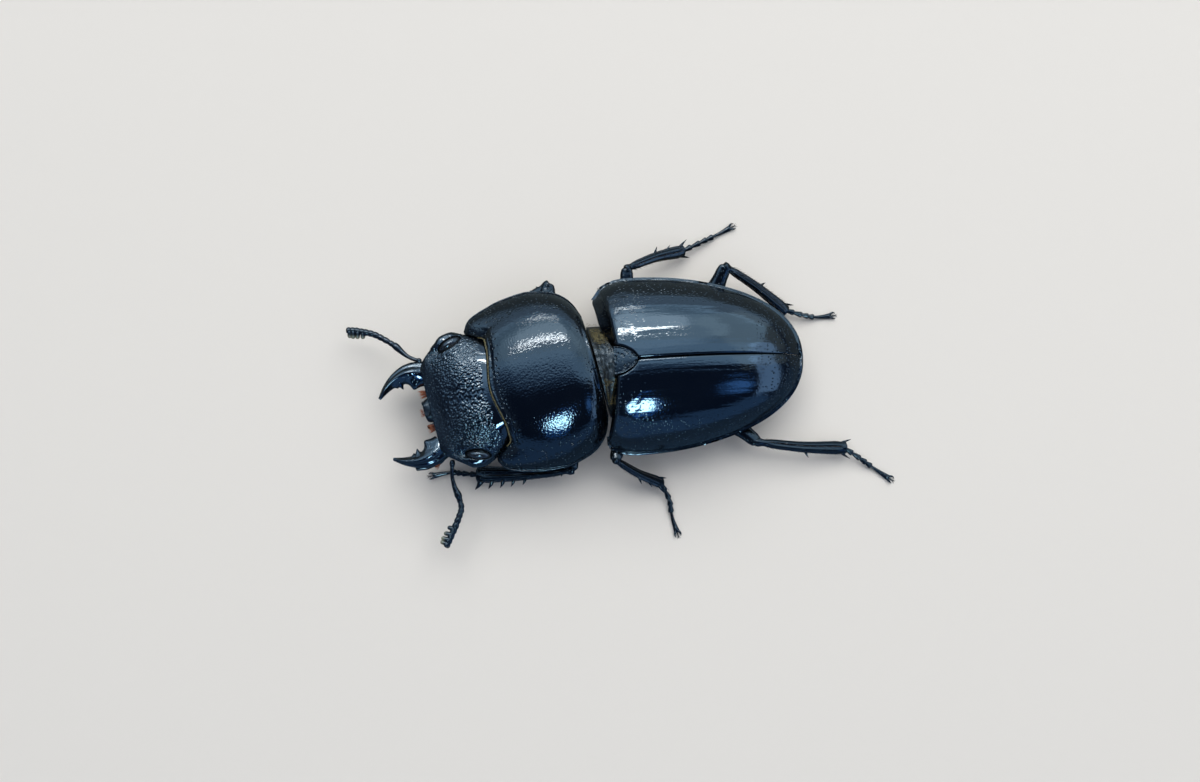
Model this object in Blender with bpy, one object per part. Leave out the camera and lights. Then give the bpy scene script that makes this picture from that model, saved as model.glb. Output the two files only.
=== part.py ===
"""A life-size stag beetle of the Dorcus kind with short jaws, standing still on its six feet.

The beetle faces -Y, its own left side is +X and +Z is up. The shapes are drawn in millimetres.
The hind body is drawn about its suture, on x = 0, and the head and the prothorax in a frame of
their own, which is turned a little to the left about the waist.
"""

from math import cos, pi, radians, sin, tau

import bmesh
import bpy
from mathutils import Matrix, Vector

MM = 0.001
GAP = 0.12                      # clearance between neighbouring plates

# Where the beetle stands, so that the middle of its box is at x = 0, y = 0
STAND_X = -0.95
STAND_Y = -2.12

# The fore body turns about the waist
WAIST = Vector((-0.27, -0.52, 0.0))
FORE_YAW = 11.3                 # degrees, head towards the beetle's left

# Wing cases
CASE_HALF_WIDTH = 8.77
CASE_WIDEST_Y = 3.5
CASE_APEX_Y = 20.15
CASE_BASE_Y = 1.6               # front edge beside the scutellum
CASE_SHOULDER_Y = 0.1           # front edge at the shoulder
CASE_CROWN_Y = 5.5
CASE_HEIGHT = 5.55              # crown above the side margin
CASE_MARGIN_Z = 5.65
CASE_SHELL = 0.075              # thickness as a share of the half width
CASE_WALL_DEEP = 1.7            # the steep front face of each case
CASE_WALL_THICK = 0.75
CASE_WALL_LEANS = {1: 0.25, -1: 1.15}   # how far its foot stands forward, by side
SCUTELLUM_FRONT_Y = 1.45
BELLY_POWER = 1.8               # over 1 leaves room for the thighs at the sides
SCUTELLUM_HALF_WIDTH = 1.45
SCUTELLUM_TIP_Y = 3.75

# Hind body, as (y, belly z, how far the crown is sunk) for the thorax
THORAX_STATIONS = [(2.15, 4.0, 2.0), (2.7, 3.1, 1.8), (4.2, 2.25, 0.6), (6.5, 2.1, 0.0), (8.3, 2.35, 0.0)]
ABDOMEN_FRONT_Y = 8.45
ABDOMEN_REAR_Y = 18.3
BELLY_PLATES = 5

# Pronotum
PRONOTUM_LENGTH = 11.8          # front corners to hind margin
PRONOTUM_MARGIN_Z = 5.72
PRONOTUM_UNDER_Z = 5.3
COLLAR_Y = -10.6                # front margin at the middle
COLLAR_BAY = 0.65               # how far the margin falls back on each side of the middle
PRONOTUM_HALF_WIDTHS = [(-11.8, 6.75), (-11.4, 7.45), (-10.8, 7.95), (-9.25, 8.5), (-7.5, 8.92),
                        (-5.2, 9.1), (-2.9, 8.62), (-1.9, 8.15), (-1.0, 7.35), (-0.4, 6.4), (0.0, 5.2)]
PRONOTUM_HEIGHTS = [(-11.8, 2.9), (-10.3, 3.3), (-8.0, 4.25), (-5.0, 4.7), (-2.0, 4.55), (0.0, 4.05)]
# Prosternum, as (y, half width, depth of the keel)
PROSTERNUM_STATIONS = [(-10.1, 6.3, 1.1), (-9.2, 7.3, 1.9), (-7.0, 8.0, 2.6), (-4.5, 8.1, 2.75),
                       (-2.0, 7.4, 2.5), (-0.45, 6.0, 1.9)]

# Head
HEAD_REAR_Y = -10.45
HEAD_FRONT_Y = -16.95
HEAD_SIDE_Z = 5.95
HEAD_HALF_WIDTHS = [(-16.95, 4.25), (-16.4, 5.05), (-15.8, 5.55), (-15.0, 6.2), (-14.2, 6.8),
                    (-13.2, 6.95), (-12.3, 6.6), (-11.5, 6.0), (-10.9, 5.55), (-10.45, 5.2)]
HEAD_TOPS = [(-16.95, 6.55), (-16.2, 7.1), (-15.0, 7.7), (-13.5, 8.3), (-12.0, 8.6), (-10.45, 8.7)]
HEAD_BOTTOMS = [(-16.95, 4.0), (-16.0, 3.4), (-14.0, 3.05), (-12.0, 3.0), (-10.45, 3.4)]
EYE = Vector((5.72, -13.45, 5.95))
EYE_RADII = Vector((0.74, 1.22, 1.62))

# Jaws: way points of the left one from its root, with its widths and depths
JAW_ROOT_X = 3.75
JAW_ROOT_Z = 5.2
JAW_WAY = [(0, 0, 0), (0.5, -1.2, 0.05), (0.42, -2.5, 0.05), (-0.1, -3.7, 0), (-0.85, -4.75, -0.1)]
JAW_WIDTHS = [2.5, 2.35, 2.0, 1.6, 1.25, 0.95, 0.62, 0.3]
JAW_DEPTHS = [1.9, 1.9, 1.75, 1.5, 1.2, 0.9, 0.6, 0.3]
JAW_OPENINGS = {"left": 10, "right": -5}    # degrees
# Each tooth is (root, tip, radius)
JAW_TEETH = [((-0.1, -2.35, 0.1), (-1.0, -2.75, 0.2), 0.5), ((-0.2, -3.2, 0.0), (-0.72, -3.35, 0.05), 0.26),
             ((-0.4, -0.95, -0.1), (-1.35, -1.0, -0.1), 0.5)]

# Palps, in the fore body's frame
MAXILLARY_PALPS = {
    "left": [(3.6, -16.0, 2.85), (4.8, -17.2, 2.8), (5.2, -18.6, 2.9), (5.0, -20.0, 2.9)],
    "right": [(-3.4, -16.0, 2.85), (-3.9, -17.2, 2.75), (-4.0, -18.6, 2.8), (-3.6, -19.9, 2.9)],
}
LABIAL_PALP = [(0.9, -16.85, 2.75), (1.15, -17.3, 2.6), (1.25, -17.8, 2.65)]

# Feelers, in the hind body's frame: the long first joint, the beaded stalk, the club and its comb's lean
ANTENNAE = {
    "left": ([(8.3, -15.3, 5.5), (9.6, -15.45, 5.2), (10.75, -15.3, 5.0), (11.55, -15.03, 4.87)],
             [(12.05, -14.85, 4.78), (12.9, -14.75, 4.6), (13.8, -15.05, 4.4), (14.55, -15.4, 4.22)],
             [(14.98, -15.62, 4.13), (15.8, -16.05, 4.0), (16.6, -16.5, 3.85)], (-0.35, -1, -0.1)),
    "right": ([(-1.95, -17.95, 5.5), (-2.25, -18.7, 5.4), (-2.8, -19.5, 5.2), (-3.58, -20.22, 5.07)],
              [(-3.92, -20.62, 4.98), (-4.5, -21.5, 4.8), (-5.1, -22.5, 4.6), (-5.36, -23.2, 4.43)],
              [(-5.5, -23.68, 4.33), (-5.7, -24.4, 4.2), (-5.8, -25.2, 4.05)], (1, -0.15, -0.1)),
}

# Legs, in the hind body's frame: hip, knee, ankle and the foot's way points
LEGS = {
    "fore_left": ((3.5, -4.3, 2.75), (9.8, -3.5, 3.75), (9.5, -13.1, 1.35),
                  [(9.48, -13.55, 1.15), (9.2, -14.8, 0.75), (9.0, -15.9, 0.38), (9.15, -17.4, 0.2)]),
    "fore_right": ((-2.3, -5.4, 2.75), (-9.1, -4.7, 3.95), (-4.3, -12.7, 1.35),
                   [(-4.05, -13.1, 1.15), (-3.4, -14.3, 0.75), (-2.6, -15.4, 0.38), (-1.6, -16.6, 0.2)]),
    "mid_left": ((2.8, 2.8, 2.2), (9.25, 0.9, 5.2), (11.6, 5.45, 1.3),
                 [(11.75, 5.85, 1.05), (13.3, 6.15, 0.8), (14.9, 6.3, 0.38), (16.3, 6.65, 0.2)]),
    "mid_right": ((-2.8, 2.8, 2.2), (-10.15, 3.4, 4.4), (-12.2, 9.4, 1.3),
                  [(-12.4, 9.8, 1.1), (-13.1, 11.4, 0.75), (-13.8, 13.0, 0.38), (-14.4, 14.3, 0.2)]),
    "hind_left": ((2.6, 9.6, 1.95), (8.25, 15.3, 3.3), (9.3, 24.4, 1.35),
                  [(9.4, 24.85, 1.1), (10.5, 26.0, 0.75), (11.5, 27.3, 0.38), (12.4, 28.5, 0.2)]),
    "hind_right": ((-2.6, 9.6, 1.95), (-9.6, 13.35, 4.95), (-5.25, 19.5, 1.3),
                   [(-5.25, 19.85, 1.1), (-4.75, 21.3, 0.75), (-4.5, 22.7, 0.38), (-4.55, 23.9, 0.2)]),
}
# Spines of a shin, as (share of its length, out, forward, length, radius)
MID_SPINES = [(0.52, 1, 0.5, 0.75, 0.17), (0.74, 1, 0.8, 0.6, 0.14), (0.97, 0.75, 1, 0.95, 0.18),
              (0.97, -0.6, 1, 0.9, 0.18)]
HIND_SPINES = [(0.55, 1, 0.5, 0.75, 0.17), (0.97, 0.75, 1, 0.95, 0.18), (0.97, -0.6, 1, 0.9, 0.18)]
FORE_TEETH = [(0.97, 1, 0.75, 1.1, 0.34), (0.85, 1, 0.5, 0.95, 0.28), (0.73, 1, 0.45, 0.88, 0.26),
              (0.62, 1, 0.4, 0.8, 0.24), (0.5, 1, 0.4, 0.72, 0.22), (0.97, -0.5, 1, 0.8, 0.16)]
# By pair: thigh width and depth, shin widths by share of its length, shin depth, bow and spines
LEG_SHAPES = {
    "fore": (2.2, 1.7, [(0, 0.95), (0.3, 1.1), (0.8, 1.6), (1, 1.75)], 0.95, 0.15, FORE_TEETH),
    "mid": (1.9, 1.5, [(0, 0.8), (0.4, 0.95), (0.9, 1.3), (1, 1.35)], 0.85, 0.25, MID_SPINES),
    "hind": (2.1, 1.6, [(0, 0.85), (0.4, 1.0), (0.9, 1.35), (1, 1.4)], 0.9, 0.2, HIND_SPINES),
}
THIGH_SHAPE = [0.45, 0.75, 0.95, 1.0, 0.93, 0.78, 0.6]
# A foot's five beads, as (share of its length, thickness)
FOOT_BEADS = [(0, 0.5), (0.14, 0.62), (0.18, 0.5), (0.34, 0.62), (0.38, 0.5), (0.58, 0.64), (0.64, 0.5),
              (1, 0.64)]
FOOT_STEPS = 32
CLAW_BEND_Z = 0.32
CLAW_TIP_Z = 0.14
# How far a thigh stops short of the knee's centre, which clears the shin at each knee's own bend
KNEE_BACK = {"fore_left": 1.0, "fore_right": 1.03, "mid_left": 0.85, "mid_right": 0.85, "hind_left": 0.8,
             "hind_right": 1.04}
HIP_CLEAR = {"fore": 0.8, "mid": 0.8, "hind": 0.3}
HIND_COXA = Vector((3.4, 8.7, 2.95))
HIND_COXA_RADII = (0.62, 0.75, 3.1)
COXA_RADII = (1.0, 1.0, 1.45)
SOCKET_CLEAR = Vector((0.16, 0.16, 0.16))
EYE_CLEAR = Vector((0.08, 0.08, 0.08))

BLACK = (0.010, 0.012, 0.016, 1.0)
BROWN_BLACK = (0.028, 0.021, 0.017, 1.0)
CLUB_GREY = (0.085, 0.078, 0.066, 1.0)
EYE_BLACK = (0.016, 0.018, 0.020, 1.0)


# ---------------------------------------------------------------- helpers

def clear_scene():
    for old in list(bpy.data.objects):
        bpy.data.objects.remove(old, do_unlink=True)


def eased(stations, at):
    """Value at one place on a smooth curve through (place, value) stations."""
    places = [place for place, _ in stations]
    values = [value for _, value in stations]
    at = min(max(at, places[0]), places[-1])
    i = max(k for k in range(len(places) - 1) if places[k] <= at)
    slopes = [(values[k + 1] - values[k]) / (places[k + 1] - places[k]) for k in range(len(places) - 1)]

    def tangent(k):
        if k in (0, len(places) - 1):
            return slopes[min(k, len(slopes) - 1)]
        before, after = slopes[k - 1], slopes[k]
        return 0.0 if before * after <= 0 else 2 * before * after / (before + after)

    width = places[i + 1] - places[i]
    f = (at - places[i]) / width
    rise = values[i + 1] - values[i]
    start, end = tangent(i) * width, tangent(i + 1) * width
    return values[i] + f * (start + f * (3 * rise - 2 * start - end + f * (start + end - 2 * rise)))


def smooth_step(low, high, at):
    f = min(max((at - low) / (high - low), 0.0), 1.0)
    return f * f * (3 - 2 * f)


def power(value, exponent):
    return abs(value) ** exponent * (1 if value >= 0 else -1)


def through(points, count):
    """Points spread evenly along a smooth curve through the given ones."""
    points = [Vector(p) for p in points]
    ends = [2 * points[0] - points[1]] + points + [2 * points[-1] - points[-2]]
    spans = len(points) - 1
    found = []
    for n in range(count):
        place = n * spans / (count - 1)
        i = min(int(place), spans - 1)
        f = place - i
        a, b, c, d = ends[i:i + 4]
        found.append(0.5 * (2 * b + (c - a) * f + (2 * a - 5 * b + 4 * c - d) * f * f
                            + (3 * b - a - 3 * c + d) * f ** 3))
    return found


def chitin(name, colour, roughness):
    material = bpy.data.materials.new(name + "_chitin")
    material.use_nodes = True
    shader = material.node_tree.nodes["Principled BSDF"]
    shader.inputs["Base Color"].default_value = colour
    shader.inputs["Roughness"].default_value = roughness
    shader.inputs["Metallic"].default_value = 0.0
    return material


def finish(name, bm, parent, origin=(0, 0, 0), colour=BLACK, roughness=0.2, crease=38):
    """Turns a millimetre bmesh, drawn about an origin, into a placed object of its own."""
    bmesh.ops.remove_doubles(bm, verts=bm.verts, dist=0.002)
    bmesh.ops.dissolve_degenerate(bm, edges=bm.edges, dist=0.002)
    bmesh.ops.recalc_face_normals(bm, faces=bm.faces)
    bmesh.ops.scale(bm, verts=bm.verts, vec=(MM, MM, MM))
    mesh = bpy.data.meshes.new(name)
    bm.to_mesh(mesh)
    bm.free()
    mesh.shade_smooth()
    mesh.set_sharp_from_angle(angle=radians(crease))
    mesh.materials.append(chitin(name, colour, roughness))
    made = bpy.data.objects.new(name, mesh)
    bpy.context.scene.collection.objects.link(made)
    made.parent = parent
    made.location = Vector(origin) * MM
    return made


def join_rings(bm, rings, closed=True):
    """Skins rows of points into a band of quads, and returns the rows' vertices."""
    rows = [[bm.verts.new(p) for p in ring] for ring in rings]
    span = len(rows[0])
    for low, high in zip(rows, rows[1:]):
        for k in range(span if closed else span - 1):
            bm.faces.new((low[k], low[(k + 1) % span], high[(k + 1) % span], high[k]))
    return rows


def cap_row(bm, row, centre):
    tip = bm.verts.new(centre)
    for k in range(len(row)):
        bm.faces.new((row[k - 1], row[k], tip))


def loft(bm, rings, start=None, end=None):
    """A closed body through a list of rings, with a pointed or a flat cap at each end."""
    rings = [[Vector(p) for p in ring] for ring in rings]
    rows = join_rings(bm, rings)
    middle = [sum(ring, Vector()) / len(ring) for ring in (rings[0], rings[-1])]
    cap_row(bm, rows[0], Vector(start) if start else middle[0])
    cap_row(bm, rows[-1], Vector(end) if end else middle[1])


def oval(centre, side, up, half_side, half_up, sides, squareness=1.0):
    """A ring of points; a squareness under 1 makes the oval boxier."""
    ring = []
    for k in range(sides):
        turn = tau * (k + 0.5) / sides
        ring.append(centre + side * (half_side * power(cos(turn), squareness))
                    + up * (half_up * power(sin(turn), squareness)))
    return ring


def limb(bm, path, widths, depths, wide, sides=8, blunt=0.35):
    """A tapered, rounded rod along a path; `wide` is the direction of its width."""
    rings = []
    last = len(path) - 1
    for k, centre in enumerate(path):
        along = (path[min(k + 1, last)] - path[max(k - 1, 0)]).normalized()
        side = (Vector(wide) - along * along.dot(Vector(wide))).normalized()
        up = along.cross(side)
        rings.append(oval(centre, side, up, widths[k] / 2, depths[k] / 2, sides))
    first = (path[0] - path[1]).normalized() * blunt * depths[0]
    final = (path[-1] - path[-2]).normalized() * blunt * depths[-1]
    loft(bm, rings, path[0] + first, path[-1] + final)


def thorn(bm, root, tip, radius, sides=5):
    """A cone with its root sunk in what it grows from."""
    axis = Vector(tip) - Vector(root)
    turn = axis.to_track_quat("Z", "Y").to_matrix().to_4x4()
    place = Matrix.Translation((Vector(root) + Vector(tip)) / 2) @ turn
    bmesh.ops.create_cone(bm, cap_ends=True, segments=sides, radius1=radius, radius2=radius * 0.2,
                          depth=axis.length, matrix=place)


def helper(name, bm, parent, origin):
    """A hidden shape that another object's Boolean joins on or cuts away."""
    made = finish(name, bm, parent, origin)
    made.hide_render = True
    made.display_type = "WIRE"
    return made


def boolean(target, other, operation):
    change = target.modifiers.new(operation.title(), "BOOLEAN")
    change.operation = operation
    change.solver = "EXACT"
    change.object = other


def ball(bm, centre, radii, u=14, v=7, axis=None):
    turn = Matrix.Identity(4)
    if axis is not None:
        turn = Vector(axis).to_track_quat("Z", "Y").to_matrix().to_4x4()
    place = Matrix.Translation(Vector(centre)) @ turn @ Matrix.Diagonal((*radii, 1.0))
    bmesh.ops.create_uvsphere(bm, u_segments=u, v_segments=v, radius=1.0, matrix=place)


def make_frames():
    root = bpy.data.objects.new("stand", None)
    fore = bpy.data.objects.new("fore_body_frame", None)
    for empty in (root, fore):
        bpy.context.scene.collection.objects.link(empty)
    root.location = (STAND_X * MM, STAND_Y * MM, 0)
    fore.parent = root
    fore.location = WAIST * MM
    fore.rotation_euler = (0, 0, radians(FORE_YAW))
    return root, fore


# ---------------------------------------------------------------- wing cases and hind body

def case_half_width(y):
    if y < CASE_WIDEST_Y:
        return CASE_HALF_WIDTH * (1 - 0.14 * ((CASE_WIDEST_Y - y) / CASE_WIDEST_Y) ** 2.6)
    along = min((y - CASE_WIDEST_Y) / (CASE_APEX_Y - CASE_WIDEST_Y), 1.0)
    return CASE_HALF_WIDTH * (1 - along ** 2) ** 0.43


def case_height(y):
    if y < CASE_CROWN_Y:
        return CASE_HEIGHT * (1 - 0.15 * ((CASE_CROWN_Y - y) / CASE_CROWN_Y) ** 2)
    along = min((y - CASE_CROWN_Y) / (CASE_APEX_Y - CASE_CROWN_Y), 1.0)
    return CASE_HEIGHT * (1 - along ** 2.2) ** 0.72


def case_margin_z(y):
    return CASE_MARGIN_Z - 0.03 * y


def dome(across):
    """Height of the dome, as a share, at a share of the half width."""
    return (1 - min(abs(across), 1.0) ** 2.3) ** 0.62


def case_front_y(spread):
    """The front edge slants forward from the scutellum to the shoulder."""
    return CASE_BASE_Y - (CASE_BASE_Y - CASE_SHOULDER_Y) * (0.67 * spread + 0.33 * spread ** 5)


def case_wall_lean(side, x):
    """How far the foot of the front wall stands forward of its edge."""
    return CASE_WALL_LEANS[side] * smooth_step(0.9, 4.2, abs(x)) * smooth_step(8.4, 6.2, abs(x))


def suture_x(y):
    """Half the space between the wing cases, which the scutellum fills in front."""
    along = (SCUTELLUM_TIP_Y - y) / (SCUTELLUM_TIP_Y - SCUTELLUM_FRONT_Y)
    return GAP / 2 + (SCUTELLUM_HALF_WIDTH + GAP) * min(max(along, 0.0), 1.0) ** 0.85


def case_point(side, spread, y, case_y, shrink):
    """A point of a wing case; the inner face is a shrunken copy with its own apex."""
    gap = suture_x(y)
    half = max(case_half_width(case_y) * (1 - shrink), gap)
    x = gap + (half - gap) * spread ** 0.9
    rise = case_height(case_y) * (1 - 1.35 * shrink) * dome(x / half)
    return Vector((side * x, y, case_margin_z(y) + rise))


def make_elytron(name, side, parent, rows=13, columns=8):
    """A curved shell from the suture to the side margin, with a short wall down its front."""
    outer, inner = [], []
    stretch = CASE_APEX_Y / (CASE_APEX_Y - CASE_WALL_THICK)
    for i in range(rows + 1):
        back = 1 - (1 - i / rows) ** 1.6
        outer_row, inner_row = [], []
        for j in range(columns + 1):
            spread = sin(j / columns * pi / 2)
            front = case_front_y(spread)
            y = front + (CASE_APEX_Y - front) * back
            outer_row.append(case_point(side, spread, y, y, 0.0))
            start = front + CASE_WALL_THICK
            y_in = start + (CASE_APEX_Y / stretch - start) * back
            inner_row.append(case_point(side, spread, y_in, y_in * stretch, CASE_SHELL))
        outer.append(outer_row)
        inner.append(inner_row)
    foot = [Vector((p.x, p.y - case_wall_lean(side, p.x), max(case_margin_z(p.y), p.z - CASE_WALL_DEEP)))
            for p in outer[0]]
    heel = [Vector((p.x, p.y, min(low.z, p.z - 0.2))) for p, low in zip(inner[0], foot)]
    bm = bmesh.new()
    shell = [top + bottom[::-1] for top, bottom in zip(outer, inner)]
    wall = [outer[0] + foot[::-1], outer[0] + heel[::-1]]
    rows_made = join_rings(bm, wall + shell)
    front_row = rows_made[0]
    for k in range(columns):
        bm.faces.new((front_row[k], front_row[k + 1], front_row[-2 - k], front_row[-1 - k]))
    apex_row = rows_made[-1]
    for k in range(columns):
        bm.faces.new((apex_row[k], apex_row[k + 1], apex_row[-2 - k], apex_row[-1 - k]))
    return finish(name, bm, parent)


def make_scutellum(parent):
    """The small shield between the roots of the wing cases."""
    rows = 6
    rings = []
    for i in range(rows):
        y = SCUTELLUM_FRONT_Y + (SCUTELLUM_TIP_Y - 0.35 - SCUTELLUM_FRONT_Y) * i / (rows - 1)
        half = suture_x(y) - GAP
        crown = case_margin_z(y) + case_height(y) * dome(half / CASE_HALF_WIDTH) - 0.05
        top = [Vector((half * f, y, crown + 0.08 * (1 - f * f))) for f in (-1, -0.5, 0, 0.5, 1)]
        rings.append(top + [Vector((half * f, y, crown - 0.9)) for f in (0.8, -0.8)])
    bm = bmesh.new()
    loft(bm, rings)
    return finish("scutellum", bm, parent, roughness=0.4)


def body_ring(y, half, crown, belly, side_z, sides=18):
    """A cross-section of the hind body: a dome above its side level and a shallow belly below."""
    ring = []
    for k in range(sides):
        turn = tau * (k + 0.5) / sides
        across = power(cos(turn), 0.9)
        if sin(turn) >= 0:
            z = side_z + (crown - side_z) * dome(across)
        else:
            z = side_z - (side_z - belly) * abs(sin(turn)) ** BELLY_POWER
        ring.append(Vector((half * across, y, z)))
    return ring


def hind_ring(y, belly, sunk=0.0):
    """Follows the inside of the wing cases, which are a little further on towards the apex."""
    case_y = y * (1 + CASE_SHELL)
    side_z = case_margin_z(y) - 0.1
    crown = case_margin_z(y) + case_height(case_y) * 0.85 - sunk
    return body_ring(y, case_half_width(case_y) * 0.885, crown, belly, side_z)


def make_pterothorax(parent):
    """The mid and hind thorax under the roots of the wing cases."""
    rings = [hind_ring(*station) for station in THORAX_STATIONS]
    bm = bmesh.new()
    loft(bm, rings)
    return finish("pterothorax", bm, parent)


def make_abdomen(parent):
    """Belly plates, each a little lower than the front edge of the next."""
    step = (ABDOMEN_REAR_Y - ABDOMEN_FRONT_Y) / BELLY_PLATES
    rings = []
    for n in range(BELLY_PLATES):
        front = ABDOMEN_FRONT_Y + n * step
        for share, lift in ((0.0, 0.22), (0.3, 0.0), (0.97, 0.0)):
            y = front + share * step
            belly = 2.95 + 1.9 * max(0.0, (y - 12.0) / 6.5) ** 2 + lift
            rings.append(hind_ring(y, belly))
    bm = bmesh.new()
    loft(bm, rings, end=(0, ABDOMEN_REAR_Y + 0.2, 5.0))
    return finish("abdomen", bm, parent)


def waist_back_y(x):
    """Where the waist stops in front of the walls of the wing cases."""
    side = 1 if x > 0 else -1
    return case_front_y(min(max((abs(x) - 1.5) / 6.2, 0.0), 1.0)) - case_wall_lean(side, x) - 2 * GAP


def make_mesonotum(parent):
    """The waist, a downy collar that fills the space behind the turned prothorax."""
    bm = bmesh.new()
    profile = [(-5.0, 5.6), (-4.6, 7.1), (-3.2, 8.4), (-1.5, 9.05), (0.0, 9.15), (1.5, 9.05),
               (3.1, 8.3), (4.5, 7.0), (5.0, 5.6), (3.6, 4.3), (0.0, 3.7), (-3.6, 4.3)]
    rings = []
    for share in (0.0, 0.35, 0.75, 1.0):
        ring = []
        for x, z in profile:
            turned = (x - WAIST.x) * sin(radians(FORE_YAW)) / cos(radians(FORE_YAW))
            front = WAIST.y + turned + 2 * GAP
            under_wall = z < (7.5 if x > 0 else 6.5)
            back = 2.15 - GAP if under_wall else waist_back_y(x)
            rise = 0.15 * share if z > 8 else 0.0
            ring.append(Vector((x, front + (back - front) * share, z + rise)))
        rings.append(ring)
    loft(bm, rings)
    return finish("mesonotum", bm, parent, colour=BROWN_BLACK, roughness=0.7)


# ---------------------------------------------------------------- prothorax

def pronotum_half_width(y):
    return eased(PRONOTUM_HALF_WIDTHS, y)


def pronotum_height(y):
    return eased(PRONOTUM_HEIGHTS, y)


def pronotum_front_y(across):
    """The front margin: a shallow wave between two corners that reach forward beside the head."""
    wave = COLLAR_Y + COLLAR_BAY * smooth_step(0.0, 0.66, abs(across))
    return wave - (PRONOTUM_LENGTH + COLLAR_Y + COLLAR_BAY) * smooth_step(0.78, 1.0, abs(across))


def pronotum_dome(across):
    return (1 - min(abs(across), 1.0) ** 2.5) ** 0.72


def make_pronotum(parent, rows=12):
    """The shield of the prothorax, with a flat underside on the prosternum."""
    columns = [-1, -0.965, -0.91, -0.84, -0.74, -0.55, -0.3, 0, 0.3, 0.55, 0.74, 0.84, 0.91, 0.965, 1]
    top, bottom = [], []
    for i in range(rows + 1):
        back = i / rows
        back = back + 0.06 * sin(tau * back)
        back = 1 - (1 - back) ** 1.25
        top_row, bottom_row = [], []
        for share in columns:
            front = pronotum_front_y(share)
            y = front * (1 - back)
            edge_y = -PRONOTUM_LENGTH * (1 - back)
            half = pronotum_half_width(edge_y)
            rise = pronotum_height(y) * pronotum_dome(share)
            top_row.append(Vector((share * half, y, PRONOTUM_MARGIN_Z + rise)))
            bottom_row.append(Vector((share * half, y, PRONOTUM_UNDER_Z)))
        top.append(top_row)
        bottom.append(bottom_row)
    bm = bmesh.new()
    rows_made = join_rings(bm, [high + low[::-1] for high, low in zip(top, bottom)])
    for row in (rows_made[0], rows_made[-1]):
        for k in range(len(columns) - 1):
            bm.faces.new((row[k], row[k + 1], row[-2 - k], row[-1 - k]))
    return finish("pronotum", bm, parent, crease=50)


def make_prosternum(parent):
    """The underside of the prothorax: a thick middle with thin plates out to the sides."""
    lid = PRONOTUM_UNDER_Z - GAP
    shares = [-1, -0.8, -0.62, -0.46, -0.32, -0.16, 0, 0.16, 0.32, 0.46, 0.62, 0.8, 1]
    rings = []
    for y, half, deep in PROSTERNUM_STATIONS:
        keel = [lid - 0.4 - (deep - 0.4) * (0.5 + 0.5 * cos(min(abs(s) / 0.72, 1.0) * pi))
                for s in shares]
        ring = [Vector((half * s, y, z)) for s, z in zip(shares, keel)]
        rings.append(ring + [Vector((half * s, y, lid)) for s in (1, 0, -1)])
    bm = bmesh.new()
    loft(bm, rings)
    return finish("prosternum", bm, parent, roughness=0.3)


# ---------------------------------------------------------------- head

def head_half_width(y):
    return eased(HEAD_HALF_WIDTHS, y)


def head_top_z(y):
    return eased(HEAD_TOPS, y)


def head_bottom_z(y):
    return eased(HEAD_BOTTOMS, y)


def make_head(parent, sides=24, rows=9):
    """A broad, boxy head, with a ridge along each side where the eye is divided."""
    rings = []
    for i in range(rows + 1):
        share = i / rows
        y = HEAD_FRONT_Y + (HEAD_REAR_Y - HEAD_FRONT_Y) * share
        half, top, bottom = head_half_width(y), head_top_z(y), head_bottom_z(y)
        ring = []
        for k in range(sides):
            turn = tau * (k + 0.5) / sides
            high = sin(turn) >= 0
            reach = top - HEAD_SIDE_Z if high else HEAD_SIDE_Z - bottom
            x = half * power(cos(turn), 0.8)
            z = HEAD_SIDE_Z + reach * power(sin(turn), 0.7 if high else 0.85)
            waved = y + share ** 4 * (COLLAR_BAY * smooth_step(0.0, 4.3, abs(x)) - 0.3)
            ring.append(Vector((x, waved, z)))
        rings.append(ring)
    bm = bmesh.new()
    loft(bm, rings, end=(0, HEAD_REAR_Y - 0.35, HEAD_SIDE_Z))
    head = finish("head", bm, parent, roughness=0.35)
    for side in (-1, 1):
        hollow = bmesh.new()
        ball(hollow, (0, 0, 0), EYE_RADII + EYE_CLEAR)
        at = (side * EYE.x, EYE.y, EYE.z)
        boolean(head, helper("eye_socket", hollow, parent, at), "DIFFERENCE")
    return head


def make_eye(name, side, parent):
    bm = bmesh.new()
    ball(bm, (0, 0, 0), EYE_RADII)
    return finish(name, bm, parent, (side * EYE.x, EYE.y, EYE.z), EYE_BLACK, 0.12)


def make_labrum(parent):
    """The upper lip between the jaws."""
    rings = []
    for forward, half, high, low in ((0.0, 1.35, 6.25, 4.7), (0.3, 1.3, 6.15, 4.8), (0.5, 1.05, 6.0, 4.95),
                                     (0.6, 0.7, 5.85, 5.1)):
        centre = Vector((0, HEAD_FRONT_Y - GAP - forward, (high + low) / 2))
        rings.append(oval(centre, Vector((1, 0, 0)), Vector((0, 0, 1)), half, (high - low) / 2, 10, 0.6))
    bm = bmesh.new()
    loft(bm, rings)
    return finish("labrum", bm, parent, (0, 0, 0), roughness=0.4)


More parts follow.
